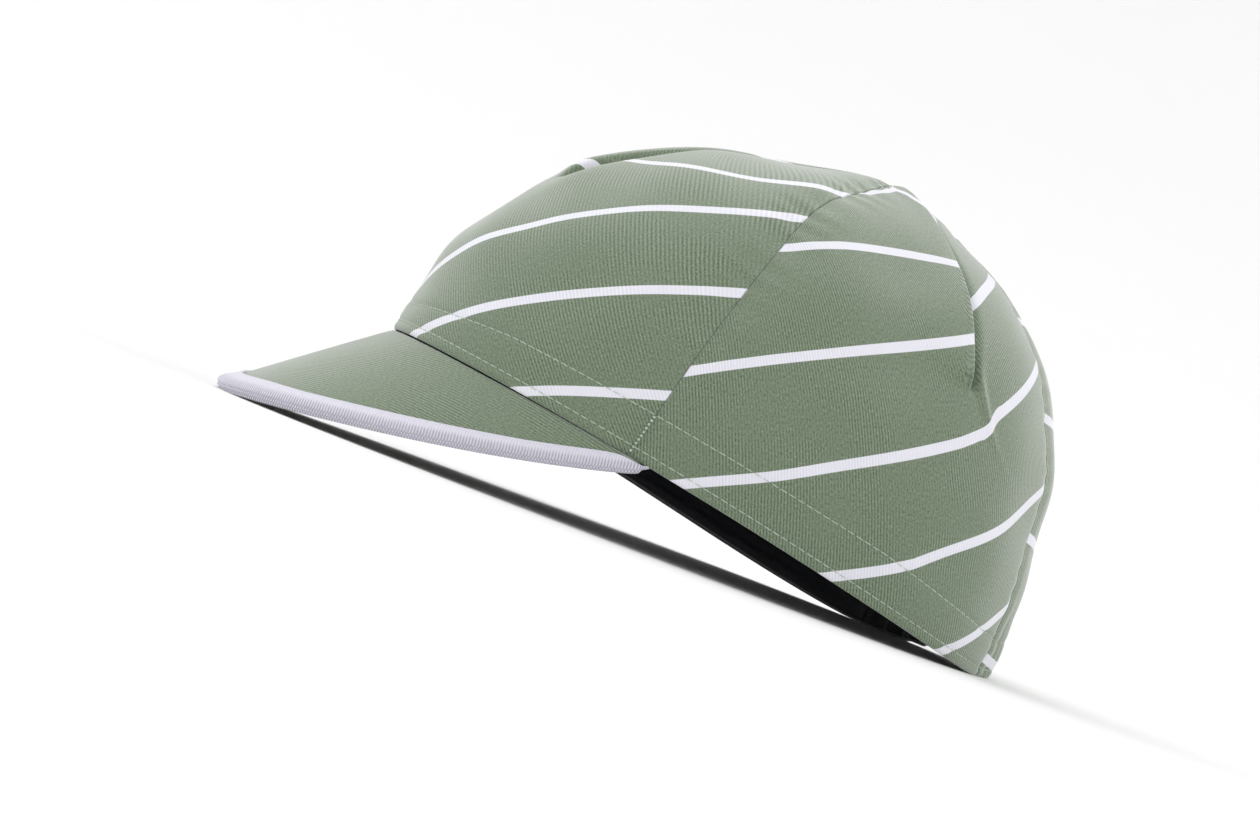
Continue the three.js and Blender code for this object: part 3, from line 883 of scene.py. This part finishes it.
def binding_tape():
    """White ribbed polyester binding: fine diagonal ribs on a smooth, slightly lustrous tape, with
    painted shade darkening the rib troughs, most on the tape's lower half.
    """
    material, tree, shader = new_material("ribbed_polyester_binding_white", 0.7, 0.25)
    if tree is None:
        return material
    grain = add_node(tree, "ShaderNodeUVMap", {"uv_map": "grain"}).outputs["UV"]
    turned = add_node(tree, "ShaderNodeMapping",
                      inputs={"Vector": grain, "Rotation": (0.0, 0.0, math.radians(12))}).outputs[0]
    place = add_node(tree, "ShaderNodeSeparateXYZ", inputs={0: turned}).outputs["X"]
    # Ribs 0.8 mm apart, pulled flat along the tape's top edge and deeper round the peak's edge; their
    # troughs carry painted shade, so the lower half of the tape is painted darker
    trough = add_node(tree, "ShaderNodeMath", {"operation": "SUBTRACT"},
                      {0: rib_wave(tree, place, 0.8 * MM), 1: 1.0}).outputs[0]
    way = add_node(tree, "ShaderNodeAttribute", {"attribute_name": "mark"}).outputs["Fac"]
    rib_depth_and_lower_shade = add_node(tree, "ShaderNodeMapRange", {"interpolation_type": "SMOOTHSTEP"}, {
        "Value": way, "From Min": 0.16, "From Max": 0.32, "To Min": 0.08, "To Max": 0.3}).outputs[0]
    yarn = add_node(tree, "ShaderNodeTexNoise", {"noise_dimensions": "2D"},
                    {"Vector": grain, "Scale": 0.8, "Detail": 3.0})
    uneven = add_node(tree, "ShaderNodeMapRange", inputs={
        "Value": yarn.outputs["Fac"], "To Min": -0.1, "To Max": 0.1}).outputs[0]
    height = add_node(tree, "ShaderNodeMath", {"operation": "MULTIPLY_ADD"},
                      {0: trough, 1: rib_depth_and_lower_shade, 2: uneven}).outputs[0]
    # Painted shade: the rib troughs are darkened down to a quarter of the tape's colour, most on the
    # lower half
    tone = add_node(tree, "ShaderNodeMapRange", inputs={
        "Value": height, "From Min": -1.0, "From Max": 0.0, "To Min": 0.25, "To Max": 1.0}).outputs[0]
    colour = add_node(tree, "ShaderNodeMix", {"data_type": "RGBA", "blend_type": "MULTIPLY"},
                      {0: 1.0, 6: trim().binding_colour, 7: tone}).outputs[2]
    finish_cloth(tree, shader, colour, height, strength=0.8, depth=0.15 * MM)
    return material


def thread_material(name, colour):
    """Spun polyester thread: twisted plies that show as slanted light and dark along a stitch."""
    material, tree, shader = new_material(name, 0.6, 0.3)
    if tree is None:
        return material
    place = add_node(tree, "ShaderNodeTexCoord").outputs["Object"]
    # Plies are about 0.25 mm, drawn at 0.35 mm so that they show
    fibres = add_node(tree, "ShaderNodeTexNoise", inputs={
        "Vector": place, "Scale": 1 / (0.35 * MM), "Detail": 1.0})
    tone = add_node(tree, "ShaderNodeMapRange", inputs={
        "Value": fibres.outputs["Fac"], "From Min": 0.3, "From Max": 0.7, "To Min": 0.75,
        "To Max": 1.0}).outputs[0]
    mixed = add_node(tree, "ShaderNodeMix", {"data_type": "RGBA", "blend_type": "MULTIPLY"},
                     {0: 1.0, 6: tuple(colour), 7: tone}).outputs[2]
    tree.links.new(mixed, shader.inputs["Base Color"])
    return material


def studio_paint():
    """Matt white emulsion on the studio floor and cove: almost no gloss, with a faint mottle."""
    material, tree, shader = new_material("matt_emulsion_white", 1.0, 0.0)
    if tree is None:
        return material
    place = add_node(tree, "ShaderNodeTexCoord").outputs["Object"]
    mottle = add_node(tree, "ShaderNodeTexNoise", inputs={"Vector": place, "Scale": 3.0, "Detail": 2.0})
    tone = add_node(tree, "ShaderNodeMapRange", inputs={
        "Value": mottle.outputs["Fac"], "To Min": 0.985, "To Max": 1.0}).outputs[0]
    colour = add_node(tree, "ShaderNodeMix", {"data_type": "RGBA", "blend_type": "MULTIPLY"},
                      {0: 1.0, 6: bpy.context.scene.cap_studio.floor_colour, 7: tone}).outputs[2]
    tree.links.new(colour, shader.inputs["Base Color"])
    shader.inputs["Specular IOR Level"].default_value = 0.1
    return material


def settle(piece, materials, node=None):
    """Gives a piece its materials and its body, and hides the CAD part that it stands for."""
    for material in materials:
        piece.data.materials.append(material)
    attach(piece, "root")
    if node:
        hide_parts(node)


def bend_table():
    """The hem curve seen along the straight lines of the peak: for steps round it, the distance
    across the flat board, its place aside and raised, its place along the lines, and its slope."""
    hem = smooth_crown(np.linspace(0, BEND_TURN, BEND_STEPS), np.zeros(BEND_STEPS))
    aside = hem[:, 0]
    raised = -hem[:, 1] * math.sin(PEAK_SLOPE) + hem[:, 2] * math.cos(PEAK_SLOPE)
    along = -hem[:, 1] * math.cos(PEAK_SLOPE) - hem[:, 2] * math.sin(PEAK_SLOPE)
    across = np.concatenate([[0], np.cumsum(np.hypot(np.diff(aside), np.diff(raised)))])
    slope = np.arctan2(np.gradient(raised), np.gradient(aside))
    lean = np.gradient(along, across)
    return {"across": across, "aside": aside, "raised": raised, "along": along, "slope": slope,
            "lean": lean}


BEND = bend_table()


def bend_at(across, column):
    """One column of the bend at a distance across the board; aside and slope turn with its sign."""
    value = np.interp(np.abs(across), BEND["across"], BEND[column])
    return value * np.sign(across) if column in ("aside", "slope") else value


def peak(across, along, depth):
    """A point of the peak from its place on the flat board, a depth under the board's top: the bent
    section's place, moved in along the section's normal and out along the straight lines."""
    sink = depth + PEAK_DROP
    slope = bend_at(across, "slope")
    raised = bend_at(across, "raised") - sink * np.cos(slope)
    x = bend_at(across, "aside") + sink * np.sin(slope)
    y = -raised * math.sin(PEAK_SLOPE) - along * math.cos(PEAK_SLOPE)
    z = raised * math.cos(PEAK_SLOPE) - along * math.sin(PEAK_SLOPE) - PEAK_DROP
    return np.stack([x, y, z], axis=-1)


def peak_outline(angle):
    """Outer outline of the bound peak on the flat board: across by a sine, and along from the corners
    to the tip by a squared circle."""
    corner = bend_at(PEAK_HALF_WIDTH, "along")
    tip = BEND["along"][0] + PEAK_LENGTH
    full = (1 - np.abs(np.sin(angle)) ** PEAK_SQUARENESS) ** PEAK_FULLNESS
    return np.stack([PEAK_HALF_WIDTH * np.sin(angle), corner + (tip - corner) * full], axis=-1)


def outline_inward(angle):
    """Unit normal of the outline, towards the hem."""
    tangent = peak_outline(angle + PROBE) - peak_outline(angle - PROBE)
    tangent /= np.linalg.norm(tangent, axis=-1, keepdims=True)
    return np.stack([tangent[..., 1], -tangent[..., 0]], axis=-1)


def leg_width(angle, inward):
    """Width of the binding on the board, which narrows smoothly where the peak runs out."""
    edge = peak_outline(angle)
    lean = bend_at(edge[..., 0], "lean")
    room = (edge[..., 1] - bend_at(edge[..., 0], "along")) / (
        np.abs(inward[..., 1]) + np.abs(lean * inward[..., 0]))
    width = np.interp(np.degrees(np.abs(angle)), [leg.angle for leg in BINDING_LEGS],
                      [leg.width for leg in BINDING_LEGS])
    return (width**-6 + np.maximum(0.95 * room, 0.3 * MM) ** -6) ** (-1 / 6)


def binding_section(sides=45, leg_steps=12):
    """The binding's section as shares: how far along a leg (0 at its edge, 1 at the nose) and the
    angle round the nose, from the top leg's edge to the bottom leg's."""
    rounding = 0.5 * (1 - np.cos(np.linspace(0, math.pi, leg_steps)))
    leg = np.concatenate([rounding, np.ones(sides - 1), rounding[::-1]])
    turn = np.concatenate([np.zeros(leg_steps), np.linspace(0, math.pi, sides + 1)[1:-1],
                           np.full(leg_steps, math.pi)])
    return leg, turn


def binding_points(angle, inner):
    """The binding's face: a half circle round the board's edge and two legs that thin towards their
    rounded edges. Two shallow lines run round the lower half of the nose."""
    leg_share, turn = (values[None, :] for values in binding_section())
    angle = angle[:, None]
    inward = outline_inward(angle)
    leg = np.maximum(leg_width(angle, inward), 0.6 * MM)
    end = np.clip((BINDING_END - np.abs(angle)) / BINDING_TAPER, 0, 1)
    taper = np.sqrt(1 - (1 - end) ** 2) * 0.94 + 0.06
    board = trim().board / 2 + 0.06 * MM
    from_edge = leg_share * (leg - BINDING_NOSE)
    thick = trim().binding_tape + (BINDING_NOSE - board - trim().binding_tape) * smooth_step(
        leg_share, 0.25, 1.0)
    rounding = np.sqrt(1 - (1 - np.clip(from_edge / BINDING_EDGE, 0.02, 1)) ** 2)
    lines = BINDING_LINE_DEPTH * sum(hump(turn - line, BINDING_LINE_WIDTH) for line in BINDING_LINES)
    radius = board + (0 if inner else 1) * (thick * rounding - lines)
    inset = np.where((turn > 0) & (turn < math.pi), BINDING_NOSE - radius * np.sin(turn),
                     leg - from_edge)
    height = radius * np.cos(turn) * taper
    inset = BINDING_NOSE + (inset - BINDING_NOSE) * taper
    place = peak_outline(angle) + inward * inset[..., None]
    return peak(place[..., 0], place[..., 1], trim().board / 2 - height)


class CAP_OT_crown(bpy.types.Operator):
    """Build the four crown panels of ribbed, striped cloth"""
    bl_idname = "cap.crown"
    bl_label = "Crown Panels"

    def execute(self, context):
        rises = crown_rises()
        wall = cloth().wall
        for panel in PANELS:
            turns = panel_turns(panel, rises)
            levels = np.broadcast_to(rises, turns.shape)
            smooth = smooth_crown(turns, levels)
            across = steps_between(smooth, 0)
            up = steps_between(smooth, 1)
            from_seam = np.minimum(across, across[-1] - across)
            from_hem = np.broadcast_to(hem_height(rises), turns.shape)
            # The outer face rolls right in to the hem's fold, so the inner face is rounded little there
            seam_edge = rounded(from_seam, wall * 0.49)
            outer_edge = np.maximum(seam_edge, hem_roll(from_hem))
            inner_edge = np.maximum(seam_edge, rounded(from_hem, wall * 0.18))
            outer = stand(crown(turns, levels, outer_edge + 0.02 * MM))
            inner = stand(crown(turns, levels, wall - inner_edge))
            # Near the dart the grain follows the folded cloth, and farther off the smooth crown
            middle = panel.half_columns
            from_middle = across - across[middle]
            folded = steps_between(outer, 0)
            from_middle += (folded - folded[middle] - from_middle) * hump(from_middle, 2 * MM)
            grain = turned_grain(from_middle, up, panel.lie)
            marks = stripe_distances(panel, levels, smooth)
            piece = wall_mesh(f"{panel.node}_cloth", outer, inner, grain, marks)
            settle(piece, (printed_cloth(), lining()), panel.node)
        return {"FINISHED"}


class CAP_OT_peak(bpy.types.Operator):
    """Build the covered peak board"""
    bl_idname = "cap.peak"
    bl_label = "Peak"

    def execute(self, context):
        angles = np.linspace(PEAK_END, -PEAK_END, 240)[:, None]
        share = (np.linspace(0, 1, 76) ** 1.5)[None, :]
        tuck = np.concatenate([np.linspace(PEAK_LIP, 0, 6)[:-1], np.zeros(76)])[None, :]
        share = np.concatenate([np.zeros((1, 5)), share], axis=1)
        place = peak_outline(angles) + outline_inward(angles) * BINDING_NOSE
        across = np.broadcast_to(place[..., 0], (len(angles), share.size))
        hem = bend_at(across, "along")
        reach = (place[..., 1] - hem) * share
        along = hem + reach - tuck * math.cos(PEAK_SLOPE)
        grain = turned_grain(across, along, PEAK_GRAIN)
        swell = COVER_SWELL * np.sin(math.pi * share) - COVER_DIP * hump(reach, COVER_DIP_WIDTH)
        outer = stand(peak(across, along, tuck * math.sin(PEAK_SLOPE) - swell))
        inner = stand(peak(across, along, trim().board))
        piece = wall_mesh("peak_cloth", outer, inner, grain, np.full(across.shape, NO_STRIPE))
        settle(piece, (printed_cloth(), printed_cloth()), "peak")
        return {"FINISHED"}


class CAP_OT_binding(bpy.types.Operator):
    """Build the ribbed binding round the peak's edge"""
    bl_idname = "cap.binding"
    bl_label = "Peak Binding"

    def execute(self, context):
        angles = np.linspace(BINDING_END, -BINDING_END, 320)
        outer = stand(binding_points(angles, inner=False))
        inner = stand(binding_points(angles, inner=True))
        leg, turn = binding_section()
        way = np.where(turn < math.pi, 0.3 * leg + 0.4 * turn / math.pi, 1 - 0.3 * leg)
        marks = np.broadcast_to(way, outer.shape[:2])
        piece = wall_mesh("peak_binding_tape", outer, inner, surface_grain(outer), marks)
        settle(piece, (binding_tape(), binding_tape()), "peak_binding")
        return {"FINISHED"}


def band_wall(name, turns, thickness, ruffle):
    """A band inside the hem: a wall between two depths of the crown, with rounded edges. ruffle, a
    function of turn, is added to both depths."""
    height = trim().band_height
    near = cloth().wall + BAND_GAP
    heights = np.concatenate([
        0.5 * thickness * (1 - np.cos(np.linspace(0, math.pi / 2, 5))),
        np.linspace(0.5 * thickness, height - 0.5 * thickness, 20)[1:-1],
        height - 0.5 * thickness * (1 - np.cos(np.linspace(math.pi / 2, 0, 5))),
    ])
    rises = (heights + 0.6 * MM) / hem_height(1.0)
    grid, levels = np.meshgrid(turns, rises, indexing="ij")
    edge = np.broadcast_to(rounded(np.minimum(heights, height - heights), thickness * 0.48), grid.shape)
    wave = ruffle(grid)
    outer = stand(crown(grid, levels, near + edge + wave))
    inner = stand(crown(grid, levels, near + thickness - edge + wave))
    return wall_mesh(name, outer, inner, surface_grain(outer))


class CAP_OT_sweatband(bpy.types.Operator):
    """Build the sweatband inside the front and sides"""
    bl_idname = "cap.sweatband"
    bl_label = "Sweatband"

    def execute(self, context):
        end = line_turn(BACK_SEAM, 0) - 0.004
        turns = np.linspace(-end, end, 420)
        piece = band_wall("sweatband_tape", turns, trim().band_wall,
                          lambda turn: RIPPLE * np.sin(turn * 31) * np.sin(turn * 7.3))
        settle(piece, (sweatband_tape(), sweatband_tape()), "sweatband")
        return {"FINISHED"}


class CAP_OT_elastic(bpy.types.Operator):
    """Build the gathered elastic inside the back"""
    bl_idname = "cap.elastic"
    bl_label = "Elastic Band"

    def execute(self, context):
        start = line_turn(BACK_SEAM, 0) + 0.004
        turns = np.linspace(start, 2 * math.pi - start, 300)

        def ruffle(turn):
            share = (turn - start) / (2 * (math.pi - start))
            fade = np.sin(math.pi * share) ** 0.5
            return RUFFLE * fade * (1 - np.cos(2 * math.pi * 2 * cloth().gather_count * share))

        piece = band_wall("elastic_webbing", turns, trim().elastic_wall, ruffle)
        settle(piece, (elastic_webbing(), elastic_webbing()), "elastic_band")
        return {"FINISHED"}


def stitch_row(path, normals, thread, length, gap):
    """Stitches along a path: capsules of a length and a gap apart, each a ring of six points carried
    along six stations of the path and thinned to its two ends, where it dips into the cloth."""
    arc = np.concatenate([[0], np.cumsum(np.linalg.norm(np.diff(path, axis=0), axis=1))])
    count = int((arc[-1] - gap) // (length + gap))
    if count < 1:
        return np.zeros((0, 3)), np.zeros((0, 4), int)
    starts = gap + (length + gap) * np.arange(count)
    station = np.linspace(0, 1, 6)
    where = starts[:, None] + length * station[None, :]
    centre = np.stack([np.interp(where, arc, path[:, axis]) for axis in range(3)], -1)
    outward = np.stack([np.interp(where, arc, normals[:, axis]) for axis in range(3)], -1)
    outward /= np.linalg.norm(outward, axis=-1, keepdims=True)
    tangent = np.gradient(centre, axis=1)
    tangent /= np.linalg.norm(tangent, axis=-1, keepdims=True)
    sideways = np.cross(outward, tangent)
    bulge = np.sin(math.pi * np.clip(station, 0.06, 0.94)) ** 0.4
    centre = centre + outward * (thread * (0.45 * bulge - 0.25))[None, :, None]
    around = np.arange(6) * math.pi / 3
    ring = (sideways[..., None, :] * np.cos(around)[:, None] + outward[..., None, :]
            * np.sin(around)[:, None]) * (thread / 2 * bulge)[None, :, None, None]
    points = (centre[..., None, :] + ring).reshape(-1, 3)
    index = np.arange(count * 36).reshape(count, 6, 6)
    following = np.roll(index, -1, axis=2)
    sides = np.stack([index[:, :-1], index[:, 1:], following[:, 1:], following[:, :-1]], -1)
    first, last = index[:, 0], index[:, -1]
    caps = [first[:, [0, 1, 2, 3]], first[:, [0, 3, 4, 5]], last[:, [3, 2, 1, 0]], last[:, [5, 4, 3, 0]]]
    return points, np.concatenate([sides.reshape(-1, 4), *caps])


def crown_path(turns, rises, depth=0.0):
    """A path in the crown at a depth and its outward normals, from points 1 mm deeper."""
    path = stand(crown(turns, rises, depth))
    outward = path - stand(crown(turns, rises, depth + 1 * MM))
    return path, outward / np.linalg.norm(outward, axis=-1, keepdims=True)


def joined(parts):
    """Several point and face arrays as one."""
    points, faces, offset = [], [], 0
    for part_points, part_faces in parts:
        points.append(part_points)
        faces.append(part_faces + offset)
        offset += len(part_points)
    return np.concatenate(points), np.concatenate(faces)


class CAP_OT_stitches(bpy.types.Operator):
    """Sew the two rows of the hem and the short rows at the seams' feet"""
    bl_idname = "cap.stitches"
    bl_label = "Stitching"

    def execute(self, context):
        size = trim()
        round_head = np.linspace(-math.pi, math.pi, 3000)
        height = hem_height(1.0)
        lower = np.full(round_head.shape, LOWER_ROW_HEIGHT / height)
        upper = upper_row_height(round_head) / height
        parts = []
        for rises in (lower, upper):
            path, normals = crown_path(round_head, rises)
            parts.append(stitch_row(path, normals, size.thread, size.stitch_length, size.stitch_gap))
        for side in (1, -1):
            up = np.linspace(FOOT_ROW_START, FOOT_ROW_END, 60)
            path, normals = crown_path(side * line_turn(FRONT_SEAM, up / height), up / height,
                                       hem_roll(up) - 0.6 * MM)
            parts.append(stitch_row(path, normals, FOOT_THREAD, FOOT_STITCH, FOOT_GAP))
        points, faces = joined(parts)
        piece = build_mesh("hem_stitches", points, faces)
        settle(piece, (thread_material("spun_polyester_thread_sage", size.thread_colour),))
        return {"FINISHED"}


class CAP_OT_overlock(bpy.types.Operator):
    """Sew the overlocked seams inside the crown"""
    bl_idname = "cap.overlock"
    bl_label = "Inside Seams"

    def execute(self, context):
        above_band = trim().band_height / hem_height(1.0)
        rises = np.linspace(above_band + 3 * MM / hem_height(1.0), ALLOWANCE_END, 160)
        steps = np.linspace(above_band + 3.5 * MM / hem_height(1.0), ALLOWANCE_END - 0.005, 1500)
        lateral = np.linspace(-1, 1, 9)[:, None]
        zigzag = 2 / math.pi * np.arcsin(np.sin(2 * math.pi * hem_height(steps) / OVERLOCK_PITCH))
        inside = cloth().wall
        threads = []
        seams = [(seam, side) for seam in (FRONT_SEAM, BACK_SEAM) for side in (1, -1)]
        for number, (seam, side) in enumerate(seams, 1):
            turns = side * line_turn(seam, rises) + lateral * ALLOWANCE_HALF_WIDTH / half_width(rises)
            levels = np.broadcast_to(rises, turns.shape)
            bulge = ALLOWANCE_BULGE * np.sqrt(1 - 0.96 * lateral**2)
            outer = stand(crown(turns, levels, inside + 0.08 * MM))
            inner = stand(crown(turns, levels, inside + 0.1 * MM + bulge))
            piece = wall_mesh(f"seam_allowance_{number}", outer, inner, surface_grain(outer))
            settle(piece, (lining(), lining()))
            turns = side * line_turn(seam, steps) + zigzag * OVERLOCK_HALF_WIDTH / half_width(steps)
            bulge = ALLOWANCE_BULGE * np.sqrt(1 - 0.9 * zigzag**2)
            path, outward = crown_path(turns, steps, inside + 0.15 * MM + bulge)
            threads.append(stitch_row(path, -outward, OVERLOCK_THREAD, OVERLOCK_STITCH, OVERLOCK_GAP))
        points, faces = joined(threads)
        piece = build_mesh("overlock_threads", points, faces)
        settle(piece, (thread_material("spun_polyester_thread_grey", trim().overlock_colour),))
        return {"FINISHED"}


class Lamp(NamedTuple):
    """A soft sun: its name, the side that it shines from, its strength and its width in degrees."""
    name: str
    place: tuple
    strength: float
    softness: float


LAMPS = (
    Lamp(name="overhead_light", place=(-0.5, 0.0, 1.6), strength=1.55, softness=70),
    Lamp(name="front_light", place=(-0.3, -1.2, 0.8), strength=0.65, softness=50),
    Lamp(name="back_light", place=(0.4, 1.2, 0.4), strength=1.3, softness=50),
)
WORLD_LIGHT = 0.45
# Studio floor: the reach of its flat middle and of its cove, and how gently the cove rises
FLOOR_FLAT = 2.2
FLOOR_REACH = 9.0
COVE_EASE = 11
FLOOR_SIDES = 96
# Place that the camera looks at, as shares of the CAD's box
AIM_SHARES = (0.3762, 0.5054, 0.2646)


class CAP_OT_studio(bpy.types.Operator):
    """Set up the pale floor, soft light and camera"""
    bl_idname = "cap.studio"
    bl_label = "Studio"

    def execute(self, context):
        scene = context.scene
        settings = scene.cap_studio
        radii = np.concatenate([[0.02, 0.6, 1.4], np.linspace(FLOOR_FLAT, FLOOR_REACH, 60)])
        heights = np.maximum(0, radii - FLOOR_FLAT) ** 2 / COVE_EASE
        around = np.linspace(0, 2 * math.pi, FLOOR_SIDES + 1)[:-1]
        index = np.arange(FLOOR_SIDES * radii.size).reshape(FLOOR_SIDES, radii.size)
        points = np.stack([np.outer(np.cos(around), radii), np.outer(np.sin(around), radii),
                           np.broadcast_to(heights, index.shape)], -1).reshape(-1, 3)
        following = np.roll(index, -1, axis=0)
        faces = np.stack([index[:, :-1], index[:, 1:], following[:, 1:], following[:, :-1]], -1)
        hub = np.full(FLOOR_SIDES // 2, len(points))
        fan = np.stack([hub, index[0::2, 0], index[1::2, 0], np.roll(index[0::2, 0], -1)], -1)
        floor = build_mesh("studio_floor", np.concatenate([points, [[0, 0, 0]]]),
                           np.concatenate([faces.reshape(-1, 4), fan]))
        floor.data.materials.append(studio_paint())

        for lamp in LAMPS:
            light = bpy.data.lights.new(lamp.name, "SUN")
            light.energy = lamp.strength
            light.angle = math.radians(lamp.softness)
            sun = bpy.data.objects.new(lamp.name, light)
            sun.location = lamp.place
            sun.rotation_euler = Vector(lamp.place).to_track_quat("Z", "Y").to_euler()
            scene.collection.objects.link(sun)

        world = scene.world or bpy.data.worlds.new("studio")
        scene.world = world
        world.use_nodes = True
        background = world.node_tree.nodes["Background"]
        background.inputs["Color"].default_value = from_hex(0xFFFFFF)
        background.inputs["Strength"].default_value = WORLD_LIGHT

        aim = Vector([low + share * (high - low) for low, high, share in zip(*CAD_BOX, AIM_SHARES)])
        azimuth, elevation = settings.azimuth, settings.elevation
        back = Vector((math.sin(azimuth) * math.cos(elevation),
                       -math.cos(azimuth) * math.cos(elevation), math.sin(elevation)))
        data = bpy.data.cameras.new("studio_camera")
        data.lens = settings.lens
        data.sensor_width = 36
        data.clip_start, data.clip_end = 0.05, 50
        camera = bpy.data.objects.new("studio_camera", data)
        camera.location = aim + back * settings.distance
        camera.rotation_mode = "QUATERNION"
        camera.rotation_quaternion = ((-back).to_track_quat("-Z", "Y")
                                      @ Quaternion((0, 0, 1), settings.roll))
        scene.collection.objects.link(camera)
        scene.camera = camera
        scene.view_settings.view_transform = "Standard"
        return {"FINISHED"}


OPERATORS = (CAP_OT_studio, CAP_OT_crown, CAP_OT_peak, CAP_OT_binding, CAP_OT_sweatband,
             CAP_OT_elastic, CAP_OT_stitches, CAP_OT_overlock)


class CAP_PT_sidebar(bpy.types.Panel):
    """Lists the steps that build the cap"""
    bl_label = "Cycling Cap"
    bl_idname = "CAP_PT_sidebar"
    bl_space_type = "VIEW_3D"
    bl_region_type = "UI"
    bl_category = "Cycling Cap"

    def draw(self, context):
        for operator in OPERATORS:
            self.layout.operator(operator.bl_idname)
        for name, group in SETTINGS.items():
            box = self.layout.box()
            for field in group.__annotations__:
                box.prop(getattr(context.scene, name), field)


CLASSES = (*SETTINGS.values(), *OPERATORS, CAP_PT_sidebar)


def register():
    for made in CLASSES:
        bpy.utils.register_class(made)
    for name, group in SETTINGS.items():
        setattr(bpy.types.Scene, name, bpy.props.PointerProperty(type=group))


def unregister():
    for name in SETTINGS:
        delattr(bpy.types.Scene, name)
    for made in reversed(CLASSES):
        bpy.utils.unregister_class(made)


def main():
    register()
    bpy.ops.cap.studio()
    bpy.ops.cap.crown()
    bpy.ops.cap.peak()
    bpy.ops.cap.binding()
    bpy.ops.cap.sweatband()
    bpy.ops.cap.elastic()
    bpy.ops.cap.stitches()
    bpy.ops.cap.overlock()


if __name__ == "__main__":
    main()
